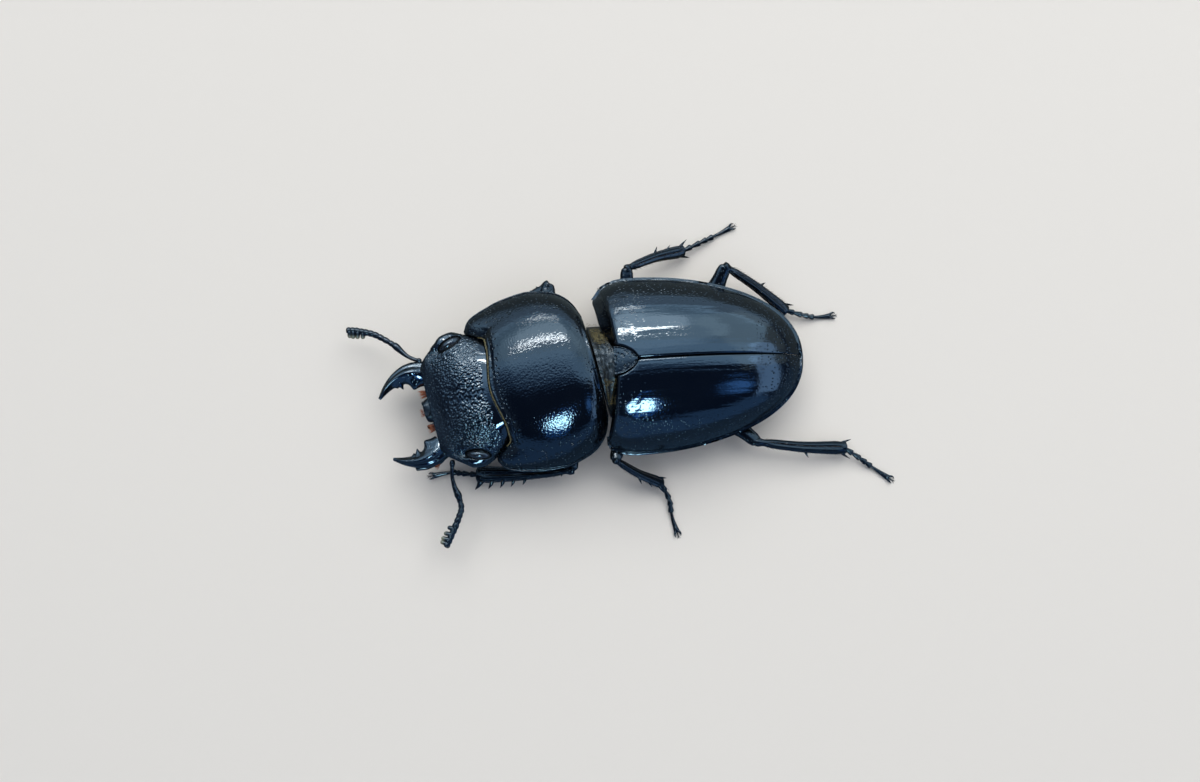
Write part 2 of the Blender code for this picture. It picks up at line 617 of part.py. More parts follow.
def make_mandible(name, side, opening, parent):
    """A short sickle of a jaw with one strong inner tooth; the opening turns it about its root."""
    root = Vector((side * JAW_ROOT_X, HEAD_FRONT_Y - 1.5 * GAP, JAW_ROOT_Z))
    path = through([(side * x, y, z) for x, y, z in JAW_WAY], len(JAW_WIDTHS))
    turn = Matrix.Rotation(radians(opening) * side, 3, "Z")
    bm = bmesh.new()
    limb(bm, path, JAW_WIDTHS, JAW_DEPTHS, (1, 0, 0), sides=10, blunt=0.15)
    bmesh.ops.rotate(bm, verts=bm.verts, cent=(0, 0, 0), matrix=turn)
    bmesh.ops.bisect_plane(bm, geom=bm.verts[:] + bm.edges[:] + bm.faces[:], dist=0.001,
                           plane_co=(0, 0, 0), plane_no=(0, 1, 0), clear_outer=True)
    bmesh.ops.holes_fill(bm, edges=[edge for edge in bm.edges if edge.is_boundary])
    jaw = finish(name, bm, parent, root, roughness=0.14)
    teeth = bmesh.new()
    for foot, tip, radius in JAW_TEETH:
        thorn(teeth, (side * foot[0], *foot[1:]), (side * tip[0], *tip[1:]), radius, 6)
    bmesh.ops.rotate(teeth, verts=teeth.verts, cent=(0, 0, 0), matrix=turn)
    boolean(jaw, helper(name + "_teeth", teeth, parent, root), "UNION")
    return jaw


def make_mentum(parent):
    """The plate under the mouth."""
    bm = bmesh.new()
    rings = []
    for y, half, low in ((-13.2, 1.9, 2.72), (-14.8, 2.3, 2.7), (-16.0, 2.0, 2.82), (-16.7, 1.2, 3.1)):
        high = head_bottom_z(y) - GAP - 0.02
        rings.append([Vector((half * a, y, min(low, high - 0.25) if b < 0 else high))
                      for a, b in ((-1, 1), (0, 1), (1, 1), (1, -1), (0, -1), (-1, -1))])
    loft(bm, rings)
    return finish("mentum", bm, parent, roughness=0.4)


def make_rod(name, points, sizes, parent, count=7, sides=7):
    """A thin round rod; its sizes are stations of (share of the length, thickness)."""
    path = [p - Vector(points[0]) for p in through(points, count)]
    thick = [eased(sizes, n / (count - 1)) for n in range(count)]
    bm = bmesh.new()
    limb(bm, path, thick, thick, (0, 0, 1), sides)
    return finish(name, bm, parent, points[0], roughness=0.25)


# ---------------------------------------------------------------- feelers

def make_antenna(side_name, scape, funicle, club, comb, parent):
    """A long first joint, an elbow, a beaded stalk and a comb-like club."""
    make_rod("antenna_scape_" + side_name, scape, [(0, 0.5), (0.15, 0.5), (0.75, 0.62), (1, 0.66)],
             parent)
    beads = 5
    count = beads * 2 + 1
    path = [p - Vector(funicle[0]) for p in through(funicle, count)]
    thick = [0.62 if n % 2 else 0.5 for n in range(count)]
    bm = bmesh.new()
    limb(bm, path, thick, thick, (0, 0, 1), 6)
    finish("antenna_stalk_" + side_name, bm, parent, funicle[0])
    leaves = 4
    path = [p - Vector(club[0]) for p in through(club, 2 * leaves + 1)]
    thick = [0.6 if n % 2 else 0.5 for n in range(len(path))]
    bm = bmesh.new()
    limb(bm, path, thick, thick, (0, 0, 1), 6, 0.2)
    stem = finish("antenna_club_" + side_name, bm, parent, club[0], CLUB_GREY, 0.6)
    combs = bmesh.new()
    for n in range(leaves):
        centre = path[2 * n + 1]
        reach = 0.72 + 0.07 * n
        thorn(combs, centre, centre + Vector(comb).normalized() * reach, 0.21)
    boolean(stem, helper("comb_" + side_name, combs, parent, club[0]), "UNION")


# ---------------------------------------------------------------- legs

def make_coxa(name, centre, radii, axis, parent):
    bm = bmesh.new()
    ball(bm, (0, 0, 0), radii, 9, 5, axis)
    return finish(name, bm, parent, centre)


def make_socket(body, centre, radii, axis, parent):
    bm = bmesh.new()
    ball(bm, (0, 0, 0), Vector(radii) + SOCKET_CLEAR, 10, 6, axis)
    boolean(body, helper("hip_socket", bm, parent, centre), "DIFFERENCE")


def make_femur(name, hip, knee, width, depth, parent, wide=(0, 1, 0)):
    """A spindle-shaped thigh."""
    path = [p - hip for p in through([hip, (hip + knee) / 2, knee], len(THIGH_SHAPE))]
    bm = bmesh.new()
    limb(bm, path, [width * s for s in THIGH_SHAPE], [depth * s for s in THIGH_SHAPE], wide, 8)
    return finish(name, bm, parent, hip)


def make_tibia(name, knee, ankle, bow, widths, depth, spines, wide, parent):
    """A shin that widens to its end; spines are (share, out, forward, length, radius)."""
    start, end = Vector(knee), Vector(ankle)
    along = (end - start).normalized()
    side = (Vector(wide) - along * along.dot(Vector(wide))).normalized()
    middle = (start + end) / 2 + side * bow
    count = 7
    path = [p - start for p in through([start, middle, end], count)]
    across = [eased(widths, n / (count - 1)) for n in range(count)]
    deep = [depth * (0.72 + 0.28 * n / (count - 1)) for n in range(count)]
    bm = bmesh.new()
    limb(bm, path, across, deep, wide, 8, 0.2)
    shin = finish(name, bm, parent, start)
    thorns = bmesh.new()
    for share, out, lean, length, radius in spines:
        place = share * (count - 1)
        i = min(int(place), count - 2)
        centre = path[i].lerp(path[i + 1], place - i)
        root = centre + side * (0.18 * across[i] * (1 if out > 0 else -1 if out < 0 else 0))
        tip = root + (side * out + along * lean).normalized() * length
        thorn(thorns, root, tip, radius)
    boolean(shin, helper(name + "_spines", thorns, parent, start), "UNION")
    return shin


def make_tarsus(name, points, parent):
    """Five beads and two claws, cut flat where the last bead and the claws meet the floor."""
    curve = through(points, FOOT_STEPS + 1)
    path = [curve[round(share * FOOT_STEPS)] - Vector(points[0]) for share, _ in FOOT_BEADS]
    thick = [size for _, size in FOOT_BEADS]
    bm = bmesh.new()
    limb(bm, path, thick, thick, (0, 0, 1), 6)
    foot = finish(name, bm, parent, points[0])
    along = (path[-1] - path[-2]).normalized()
    side = along.cross(Vector((0, 0, 1))).normalized()
    claws = bmesh.new()
    for way in (-1, 1):
        base = path[-1] - along * 0.2 + Vector((0, 0, 0.06))
        bend = base + along * 0.55 + side * way * 0.42
        tip = base + along * 1.0 + side * way * 0.62
        bend.z = CLAW_BEND_Z - points[0][2]
        tip.z = CLAW_TIP_Z - points[0][2]
        limb(claws, [base, bend, tip], [0.42, 0.4, 0.16], [0.42, 0.4, 0.16], side, 4, 0.2)
    boolean(foot, helper(name + "_claws", claws, parent, points[0]), "UNION")
    floor = bmesh.new()
    bmesh.ops.create_cube(floor, size=1.0, matrix=Matrix.Translation((*points[-1][:2], -1.0))
                          @ Matrix.Diagonal((12.0, 12.0, 2.0, 1.0)))
    boolean(foot, helper(name + "_floor", floor, parent, (0, 0, 0)), "DIFFERENCE")
    return foot


def make_leg(name, body, root):
    hip, knee, ankle, toes = LEGS[name]
    outward = 1 if name.endswith("left") else -1
    pair = name.split("_")[0]
    width, depth, shin, shin_depth, bow, spines = LEG_SHAPES[pair]
    hip, knee, ankle = Vector(hip), Vector(knee), Vector(ankle)
    thigh = (knee - hip).normalized()
    centre, radii, axis = hip - thigh * 0.9 + Vector((0, 0, 0.1)), COXA_RADII, (outward, 0, 0.1)
    if pair == "hind":
        centre = Vector((outward * HIND_COXA.x, HIND_COXA.y, HIND_COXA.z))
        radii, axis = HIND_COXA_RADII, (outward, 0.05, 0.12)
    make_coxa("coxa_" + name, centre, radii, axis, root)
    for part in body:
        make_socket(part, centre, radii, axis, root)
    make_femur("femur_" + name, hip + thigh * HIP_CLEAR[pair], knee - thigh * KNEE_BACK[name], width, depth,
               root)
    shin_start = knee - (ankle - knee).normalized() * 0.1
    side = Vector((outward, 0, 0.4 if pair == "mid" else 0))
    make_tibia("tibia_" + name, shin_start, ankle, bow, shin, shin_depth, spines, side, root)
    make_tarsus("tarsus_" + name, toes, root)


# ---------------------------------------------------------------- the whole beetle

def main():
    clear_scene()
    root, fore = make_frames()
    make_elytron("elytron_left", 1, root)
    make_elytron("elytron_right", -1, root)
    make_scutellum(root)
    pterothorax = make_pterothorax(root)
    abdomen = make_abdomen(root)
    make_mesonotum(root)
    make_pronotum(fore)
    prosternum = make_prosternum(fore)
    make_head(fore)
    for name, side in (("left", 1), ("right", -1)):
        make_eye("eye_" + name, side, fore)
        make_mandible("mandible_" + name, side, JAW_OPENINGS[name], fore)
        make_rod("maxillary_palp_" + name, MAXILLARY_PALPS[name],
                 [(0, 0.5), (0.3, 0.55), (0.55, 0.5), (0.8, 0.62), (1, 0.5)], fore)
        make_rod("labial_palp_" + name, [(side * x, y, z) for x, y, z in LABIAL_PALP],
                 [(0, 0.5), (1, 0.5)], fore, 5, 6)
        make_antenna(name, *ANTENNAE[name], root)
    make_labrum(fore)
    make_mentum(fore)
    for name in LEGS:
        body = [prosternum] if name.startswith("fore") else [pterothorax]
        if name.startswith("hind"):
            body.append(abdomen)
        make_leg(name, body, root)


main()
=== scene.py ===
"""Looks of a life-size stag beetle of the Dorcus kind with short jaws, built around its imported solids.

Shapes are drawn in millimetres, in two frames: the hind body's, about the seam of the wing cases, and
the fore body's, which is turned about the waist. Each finished piece lies in metres where it belongs.
"""

from collections import namedtuple
from math import cos, exp, pi, radians, sin, sqrt, tau
from random import Random

import bmesh
import bpy
from mathutils import Matrix, Vector, noise


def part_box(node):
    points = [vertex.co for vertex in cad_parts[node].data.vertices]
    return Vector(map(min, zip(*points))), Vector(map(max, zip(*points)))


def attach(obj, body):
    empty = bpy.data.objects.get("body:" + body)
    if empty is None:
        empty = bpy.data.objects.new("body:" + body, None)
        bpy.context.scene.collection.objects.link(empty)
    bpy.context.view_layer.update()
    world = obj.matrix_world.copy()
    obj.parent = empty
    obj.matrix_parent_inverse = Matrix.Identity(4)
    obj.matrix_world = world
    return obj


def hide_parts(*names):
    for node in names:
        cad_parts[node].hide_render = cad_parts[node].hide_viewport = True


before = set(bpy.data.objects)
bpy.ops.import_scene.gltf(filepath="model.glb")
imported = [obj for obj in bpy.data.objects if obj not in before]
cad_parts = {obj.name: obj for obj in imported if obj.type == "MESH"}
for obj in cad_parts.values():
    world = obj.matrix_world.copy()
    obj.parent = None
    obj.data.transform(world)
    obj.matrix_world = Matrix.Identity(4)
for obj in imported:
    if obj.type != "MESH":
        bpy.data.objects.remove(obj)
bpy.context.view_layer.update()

MM = 0.001
GAP = 0.12                      # clearance between neighbouring plates
WELD = 0.0004                   # points nearer than this are one
TUBE_CAPS = 0.14                # share of a limb's rows in each rounded end
WAIST = Vector((-0.27, -0.52, 0.0))
FORE_YAW = 11.3                 # degrees, head towards the beetle's left

# Wing cases
CASE_HALF_WIDTH = 8.77
CASE_WIDEST_Y = 3.5
CASE_APEX_Y = 20.15
CASE_BASE_Y = 1.6               # front edge beside the scutellum
CASE_SHOULDER_Y = 0.1           # front edge at the shoulder
CASE_CROWN_Y = 5.5
CASE_HEIGHT = 5.55
CASE_MARGIN_Z = 5.65
CASE_WALL_DEEP = 1.7            # steep front face of each case
CASE_WALL_LEANS = {1: 0.25, -1: 1.15}   # how far its foot stands forward, by side
CASE_HUMPS = {1: 0.13, -1: 0.04}        # how high each one swells behind its shoulder
SCUTELLUM_FRONT_Y = 1.45
CASE_THICK = 0.28
CASE_BEAD = 0.08                # radius of the rolled side margin
CASE_WALL_SHARE = 0.1           # of the rows, how many make the front wall
SCUTELLUM_HALF_WIDTH = 1.45
SCUTELLUM_TIP_Y = 3.75

# Pronotum
PRONOTUM_LENGTH = 11.8
PRONOTUM_MARGIN_Z = 5.72
PRONOTUM_UNDER_Z = 5.3
PRONOTUM_BEAD = 0.1
PRONOTUM_DOME_Z = PRONOTUM_MARGIN_Z - 0.05      # the dome's foot, a little below the margin
COLLAR_Y = -10.6                # front margin at the middle
COLLAR_BAY = 0.65               # how far the margin falls back on each side of the middle
PRONOTUM_HALF_WIDTHS = [(-11.8, 6.75), (-11.4, 7.45), (-10.8, 7.95), (-9.25, 8.5), (-7.5, 8.92),
                        (-5.2, 9.1), (-2.9, 8.62), (-1.9, 8.15), (-1.0, 7.35), (-0.4, 6.4), (0.0, 5.2)]
PRONOTUM_HEIGHTS = [(-11.8, 2.9), (-10.3, 3.3), (-8.0, 4.1), (-5.0, 4.54), (-2.4, 4.71), (0.0, 4.05)]
PROSTERNUM_HALF_WIDTHS = [(-10.1, 6.3), (-9.2, 7.3), (-7.0, 8.0), (-4.5, 8.1), (-2.0, 7.4), (-0.45, 6.0)]
PROSTERNUM_DEPTHS = [(-10.1, 1.1), (-9.2, 1.9), (-7.0, 2.6), (-4.5, 2.75), (-2.0, 2.5), (-0.45, 1.9)]

# Head
HEAD_REAR_Y = -10.45
HEAD_FRONT_Y = -16.95
HEAD_SIDE_Z = 5.95
HEAD_HALF_WIDTHS = [(-16.95, 4.25), (-16.4, 5.05), (-15.8, 5.55), (-15.0, 6.2), (-14.2, 6.8),
                    (-13.2, 6.95), (-12.3, 6.6), (-11.5, 6.0), (-10.9, 5.55), (-10.45, 5.2)]
HEAD_TOPS = [(-16.95, 6.7), (-16.2, 7.2), (-15.0, 7.75), (-13.5, 8.3), (-12.0, 8.6), (-10.45, 8.7)]
HEAD_BOTTOMS = [(-16.95, 4.0), (-16.0, 3.4), (-14.0, 3.05), (-12.0, 3.0), (-10.45, 3.4)]
EYE = Vector((5.72, -13.45, 6.1))
EYE_RADII = Vector((0.66, 1.3, 1.47))
EYE_SLANT = 18                  # degrees, the rear end outwards
WRINKLE_HEIGHT = 0.075

# Jaws, as drawn for the left one from its root
JAW_ROOT_X = 3.75
JAW_ROOT_Z = 5.2
JAW_WAY = [(0.02, 0.35, 0), (0.5, -1.2, 0.05), (0.42, -2.5, 0.05), (-0.1, -3.7, 0), (-0.85, -4.75, -0.1)]
JAW_WIDTHS = [(0, 2.5), (0.14, 2.35), (0.29, 2.0), (0.43, 1.6), (0.57, 1.25), (0.71, 0.95), (0.86, 0.62),
              (1, 0.3)]
JAW_DEPTHS = [(0, 1.9), (0.14, 1.9), (0.29, 1.75), (0.43, 1.5), (0.57, 1.2), (0.71, 0.9), (0.86, 0.6),
              (1, 0.3)]
JAW_OPENINGS = {"left": 10, "right": -5}

# The first point of each palp lies inside the head
MAXILLARY_PALPS = {
    "left": [(3.3, -15.5, 3.9), (3.6, -16.0, 2.95), (4.8, -17.2, 2.8), (5.2, -18.6, 2.9),
             (5.0, -20.0, 2.9)],
    "right": [(-3.15, -15.5, 3.9), (-3.4, -16.0, 2.95), (-3.9, -17.2, 2.75), (-4.0, -18.6, 2.8),
              (-3.6, -19.9, 2.9)],
}
MAXILLARY_CUTS = (0.0, 0.4, 0.68, 1.0)          # shares along the palp where its joints meet
LABIAL_CUTS = (0.0, 0.5, 1.0)
LABIAL_PALP = [(0.75, -16.35, 3.15), (0.9, -16.85, 2.8), (1.15, -17.3, 2.6), (1.25, -17.8, 2.65)]

# Feelers, in the hind body's frame: the long first joint, the beaded stalk, the club and its leaves' lean
ANTENNAE = {
    "left": ([(8.3, -15.3, 5.5), (9.6, -15.45, 5.2), (10.75, -15.3, 5.0), (11.55, -15.03, 4.87)],
             [(12.05, -14.85, 4.78), (12.9, -14.75, 4.6), (13.8, -15.05, 4.4), (14.55, -15.4, 4.22)],
             [(14.98, -15.62, 4.13), (15.8, -16.05, 4.0), (16.6, -16.5, 3.85)],
             (-0.35, -1, -0.1)),
    "right": ([(-1.95, -17.95, 5.5), (-2.25, -18.7, 5.4), (-2.8, -19.5, 5.2), (-3.58, -20.22, 5.07)],
              [(-3.92, -20.62, 4.98), (-4.5, -21.5, 4.8), (-5.1, -22.5, 4.6), (-5.36, -23.2, 4.43)],
              [(-5.5, -23.68, 4.33), (-5.7, -24.4, 4.2), (-5.8, -25.2, 4.05)],
              (1, -0.15, -0.1)),
}
SCAPE_RADII = [(0, 0.24), (0.06, 0.29), (0.16, 0.19), (0.5, 0.2), (0.8, 0.29), (0.95, 0.36), (1, 0.34)]
STALK_BEADS = 6
CLUB_LEAVES = [(0.5, 0.02), (0.6, 0.03), (0.64, 0.03), (0.56, -0.02)]      # reach and lean of each

# Legs, in the hind body's frame: hip, knee, ankle and the foot's way points
LEGS = {
    "fore_left": ((3.5, -4.3, 2.75), (9.8, -3.5, 3.75), (9.5, -13.1, 1.35),
                  [(9.48, -13.55, 1.15), (9.2, -14.8, 0.75), (9.0, -15.9, 0.38), (9.15, -17.4, 0.2)]),
    "fore_right": ((-2.3, -5.4, 2.75), (-9.1, -4.7, 3.95), (-4.3, -12.7, 1.35),
                   [(-4.05, -13.1, 1.15), (-3.4, -14.3, 0.75), (-2.6, -15.4, 0.38), (-1.6, -16.6, 0.2)]),
    "mid_left": ((2.8, 2.8, 2.2), (9.25, 0.9, 5.2), (11.6, 5.45, 1.3),
                 [(11.75, 5.85, 1.05), (13.3, 6.15, 0.8), (14.9, 6.3, 0.38), (16.3, 6.65, 0.2)]),
    "mid_right": ((-2.8, 2.8, 2.2), (-10.15, 3.4, 4.4), (-12.2, 9.4, 1.3),
                  [(-12.4, 9.8, 1.1), (-13.1, 11.4, 0.75), (-13.8, 13.0, 0.38), (-14.4, 14.3, 0.2)]),
    "hind_left": ((2.6, 9.6, 1.95), (8.25, 15.3, 3.3), (9.3, 24.4, 1.35),
                  [(9.4, 24.85, 1.1), (10.5, 26.0, 0.75), (11.5, 27.3, 0.38), (12.4, 28.5, 0.2)]),
    "hind_right": ((-2.6, 9.6, 1.95), (-9.6, 13.35, 4.95), (-5.25, 19.5, 1.3),
                   [(-5.25, 19.85, 1.1), (-4.75, 21.3, 0.75), (-4.5, 22.7, 0.38), (-4.55, 23.9, 0.2)]),
}
THIGH_SHAPE = [(0, 0.42), (0.12, 0.66), (0.35, 0.96), (0.5, 1.0), (0.7, 0.9), (0.88, 0.7), (0.95, 0.68),
               (1, 0.6)]
THIGH_STARTS = {"fore": 0.6, "mid": 0.6, "hind": 0.3}       # how far past the hip
KNEE_SINK = 0.2                 # how far short of the knee the thigh ends
SHIN_SINK = 0.15                # how far the shin reaches back into the knee
FOOT_SINK = 0.1                 # and the foot into the shin
# Spines of a shin, as (share of its length, out, forward, length, radius)
MID_SPINES = [(0.52, 1, 0.5, 0.75, 0.17), (0.74, 1, 0.8, 0.6, 0.14), (0.96, 0.6, 1, 1.1, 0.17),
              (0.96, -0.45, 1, 1.1, 0.17)]
HIND_SPINES = [(0.55, 1, 0.5, 0.75, 0.17), (0.96, 0.6, 1, 1.1, 0.17), (0.96, -0.45, 1, 1.1, 0.17)]
FORE_TEETH = [(0.97, 1, 0.75, 1.1, 0.34), (0.85, 1, 0.5, 0.95, 0.28), (0.73, 1, 0.45, 0.88, 0.26),
              (0.62, 1, 0.4, 0.8, 0.24), (0.5, 1, 0.4, 0.72, 0.22), (0.97, -0.5, 1, 0.8, 0.16)]
# By pair: thigh width and depth, shin widths by share of its length, shin depth, bow and spines
LEG_SHAPES = {
    "fore": (2.2, 1.7, [(0, 0.95), (0.3, 1.1), (0.8, 1.6), (1, 1.75)], 0.95, 0.15, FORE_TEETH),
    "mid": (1.9, 1.5, [(0, 0.8), (0.4, 0.95), (0.9, 1.3), (1, 1.35)], 0.85, 0.25, MID_SPINES),
    "hind": (2.1, 1.6, [(0, 0.85), (0.4, 1.0), (0.9, 1.35), (1, 1.4)], 0.9, 0.2, HIND_SPINES),
}
FOOT_CUTS = [0.0, 0.15, 0.3, 0.44, 0.58, 1.0]   # shares along the foot where its joints meet
SHORT_JOINT = (0.15, 0.31, 0.9)                 # root radius, end radius and how late it widens
LAST_JOINT = (0.13, 0.3, 1.6)
LAST_JOINT_ADDED = 0.25
HIND_COXA = Vector((3.4, 8.7, 2.95))            # the left one; the right one is its mirror image
HIND_RING_ROOT = Vector((2.7, 8.9, 2.6))
RING_RADIUS = 0.62

# Body under the wing cases, which it fills with a little to spare
LINING_WIDTH = 0.885
LINING_HEIGHT = 0.85
LINING_STRETCH = 1.075
THORAX_FRONT_Y = 2.15
THORAX_REAR_Y = 8.35
THORAX_BELLIES = [(THORAX_FRONT_Y, 4.0), (2.7, 3.1), (4.2, 2.25), (6.5, 2.1), (THORAX_REAR_Y, 2.35)]
THORAX_SUNK = [(THORAX_FRONT_Y, 2.0), (2.7, 1.8), (4.2, 0.6), (6.5, 0.0), (THORAX_REAR_Y, 0.0)]
ABDOMEN_FRONT_Y = 8.45
ABDOMEN_REAR_Y = 18.3
BELLY_PLATES = 5
WAIST_PROFILE = [(-4.3, 5.2), (-3.95, 5.9), (-3.3, 7.2), (-2.4, 8.4), (-1.2, 9.1), (0.0, 9.2), (1.5, 9.05),
                 (3.1, 8.3), (4.5, 7.0), (5.0, 5.6), (3.6, 4.3), (0.0, 3.7), (-3.4, 4.3), (-4.3, 5.2)]

UP = Vector((0, 0, 1))


# ---- curves and profiles

def eased(stations, at):
    """Value at one place on a smooth curve through (place, value) stations."""
    places = [place for place, _ in stations]
    values = [value for _, value in stations]
    at = min(max(at, places[0]), places[-1])
    i = max(k for k in range(len(places) - 1) if places[k] <= at)
    slopes = [(values[k + 1] - values[k]) / (places[k + 1] - places[k]) for k in range(len(places) - 1)]

    def tangent(k):
        if k in (0, len(places) - 1):
            return slopes[min(k, len(slopes) - 1)]
        before, after = slopes[k - 1], slopes[k]
        return 0.0 if before * after <= 0 else 2 * before * after / (before + after)

    width = places[i + 1] - places[i]
    f = (at - places[i]) / width
    rise = values[i + 1] - values[i]
    start, end = tangent(i) * width, tangent(i + 1) * width
    return values[i] + f * (start + f * (3 * rise - 2 * start - end + f * (start + end - 2 * rise)))


def ramp(low, high, at):
    """A smooth step from 0 to 1 between two places, or down from 1 where `low` is the further one."""
    f = min(max((at - low) / (high - low), 0.0), 1.0)
    return f * f * (3 - 2 * f)


def bump(at, centre, width):
    """A soft hump, 1 at its centre."""
    return exp(-((at - centre) / width) ** 2)


def power(value, exponent):
    """A power that keeps the sign."""
    return abs(value) ** exponent * (1 if value >= 0 else -1)


def sections(share, ends):
    """Which stretch of 0..1 a share lies in, and how far along that stretch it is."""
    start = 0.0
    for k, end in enumerate(ends):
        if share <= end or k == len(ends) - 1:
            return k, min((share - start) / (end - start), 1.0)
        start = end


def squared(wide, along):
    """The part of one direction that stands square to another."""
    return (wide - along * along.dot(wide)).normalized()


def heading(start, end):
    """The way from one point to the next, and the level direction across it."""
    run = (end - start).normalized()
    return run, run.cross(UP).normalized()


def ends_of(along, first, last):
    """Share along a plate, and how deep into its turned-down ends, before `first` and after `last`."""
    part, f = sections(along, (first, last, 1.0))
    return (0.0, f, 1.0)[part], (1 - f, 0.0, f)[part]


def on_curve(points, share):
    """A point on a smooth curve through the given ones."""
    points = [Vector(p) for p in points]
    ends = [2 * points[0] - points[1]] + points + [2 * points[-1] - points[-2]]
    spans = len(points) - 1
    place = min(max(share, 0.0), 1.0) * spans
    i = min(int(place), spans - 1)
    f = place - i
    a, b, c, d = ends[i:i + 4]
    return 0.5 * (2 * b + (c - a) * f + (2 * a - 5 * b + 4 * c - d) * f * f
                  + (3 * b - a - 3 * c + d) * f ** 3)


def stretch(points, low, high, shares):
    """Points along one stretch of a curve."""
    return [on_curve(points, low + (high - low) * share) for share in shares]


def case_half_width(y):
    """Half the width across both wing cases."""
    if y < CASE_WIDEST_Y:
        return CASE_HALF_WIDTH * (1 - 0.14 * ((CASE_WIDEST_Y - y) / CASE_WIDEST_Y) ** 2.6)
    along = min((y - CASE_WIDEST_Y) / (CASE_APEX_Y - CASE_WIDEST_Y), 1.0)
    return CASE_HALF_WIDTH * (1 - along ** 2) ** 0.43


def case_height(y):
    """How far the dome rises above its margin."""
    if y < CASE_CROWN_Y:
        return CASE_HEIGHT * (1 - 0.15 * ((CASE_CROWN_Y - y) / CASE_CROWN_Y) ** 2)
    along = min((y - CASE_CROWN_Y) / (CASE_APEX_Y - CASE_CROWN_Y), 1.0)
    return CASE_HEIGHT * (1 - along ** 2.2) ** 0.72


def case_margin_z(y):
    return CASE_MARGIN_Z - 0.03 * y


def dome(across):
    """The arch across the wing cases, 1 in the middle and 0 at the side; the pronotum has a fuller one."""
    return (1 - min(abs(across), 1.0) ** 2.3) ** 0.62


def case_front_y(spread):
    """The front edge slants forward from the scutellum to a rounded shoulder."""
    slant = CASE_BASE_Y - (CASE_BASE_Y - CASE_SHOULDER_Y) * (0.67 * spread + 0.33 * spread ** 5)
    return slant + 0.3 * ramp(0.9, 1.0, spread)


def case_wall_lean(side, x):
    """How far the foot of the front wall stands forward of its edge."""
    return CASE_WALL_LEANS[side] * ramp(0.9, 4.2, abs(x)) * ramp(8.4, 6.2, abs(x))


def suture_x(y):
    """Half the space between the wing cases, which the rounded scutellum fills in front."""
    along = min(max((SCUTELLUM_TIP_Y - y) / (SCUTELLUM_TIP_Y - SCUTELLUM_FRONT_Y), 0.0), 1.0)
    seam = 0.003 + GAP / 4 * ramp(17.5, 13.0, y)
    return seam + SCUTELLUM_HALF_WIDTH * sin(along * pi / 2) ** 0.62


def pronotum_dome(across):
    return (1 - min(abs(across), 1.0) ** 2.5) ** 0.72


def pronotum_front_y(across):
    """The front margin: a shallow wave between two corners that reach forward beside the head."""
    wave = COLLAR_Y + COLLAR_BAY * ramp(0.0, 0.66, abs(across))
    return wave - (PRONOTUM_LENGTH + COLLAR_Y + COLLAR_BAY) * ramp(0.78, 1.0, abs(across))


# ---- frames and finishing

def hind_frame():
    """Turns the hind body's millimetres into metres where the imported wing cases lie."""
    low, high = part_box("elytron_left")
    seam = (low.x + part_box("elytron_right")[1].x) / 2
    return Matrix.Translation((seam, high.y - CASE_APEX_Y * MM, 0.0)) @ Matrix.Scale(MM, 4)


HIND = hind_frame()
FORE = HIND @ Matrix.Translation(WAIST) @ Matrix.Rotation(radians(FORE_YAW), 4, "Z")


def grid(columns, rows, place):
    """A mesh grid, each vertex set by its share across and along."""
    bm = bmesh.new()
    bmesh.ops.create_grid(bm, x_segments=columns, y_segments=rows, size=0.5)
    for vertex in bm.verts:
        vertex.co = place(vertex.co.x + 0.5, vertex.co.y + 0.5)
    return bm


def weld(bm):
    """Joins the points that lie together, at seams and poles, and turns every face outwards."""
    bmesh.ops.remove_doubles(bm, verts=bm.verts, dist=WELD)
    bmesh.ops.dissolve_degenerate(bm, edges=bm.edges, dist=WELD / 4)
    bmesh.ops.recalc_face_normals(bm, faces=bm.faces)


def put(name, data):
    """A new object of the scene that carries this mesh, lamp or camera."""
    made = bpy.data.objects.new(name, data)
    bpy.context.scene.collection.objects.link(made)
    return made


def finish(node, kind, bm, frame_matrix, material, replaces=True, welded=True):
    """Turns a bmesh in millimetres into a finished piece that rides on the beetle.

    It is named for its node and its kind, and it replaces that node unless it is only added to it.
    """
    if welded:
        weld(bm)
    bmesh.ops.transform(bm, matrix=frame_matrix, verts=bm.verts)
    mesh = bpy.data.meshes.new(node + "_" + kind)
    bm.to_mesh(mesh)
    bm.free()
    mesh.shade_smooth()
    mesh.materials.append(material)
    made = put(mesh.name, mesh)
    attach(made, "root")
    if replaces:
        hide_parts(node)
    return made


def tube(bm, way, half_side, wide, columns, rows, round_ends=(0.5, 0.5), reshape=None, half_up=None):
    """A closed limb along a curve, round unless it has a `half_up` of its own.

    Its half widths follow the share along it, and `reshape` moves a point by its share and its turn.
    """
    made = bmesh.new()
    bmesh.ops.create_grid(made, x_segments=columns, y_segments=rows, size=0.5)
    half_up = half_up or half_side
    wide = Vector(wide)
    for vertex in made.verts:
        turn = tau * (vertex.co.x + 0.5)
        part, f = sections(vertex.co.y + 0.5, (TUBE_CAPS, 1 - TUBE_CAPS, 1.0))
        share = (0.0, f, 1.0)[part]
        swell = (sin(f * pi / 2), 1.0, cos(f * pi / 2))[part]
        centre = on_curve(way, share)
        along = (on_curve(way, share + 0.02) - on_curve(way, share - 0.02)).normalized()
        side = squared(wide, along)
        push = (-round_ends[0] * cos(f * pi / 2), 0.0, round_ends[1] * sin(f * pi / 2))[part]
        centre = centre + along * push * half_up(share)
        out_side, out_up = half_side(share) * swell, half_up(share) * swell
        if reshape:
            out_side, out_up = reshape(share, turn, out_side, out_up)
        vertex.co = centre + side * out_side * cos(turn) + along.cross(side) * out_up * sin(turn)
    bmesh.ops.remove_doubles(made, verts=made.verts, dist=WELD)
    bmesh.ops.recalc_face_normals(made, faces=made.faces)
    add_mesh(bm, made)


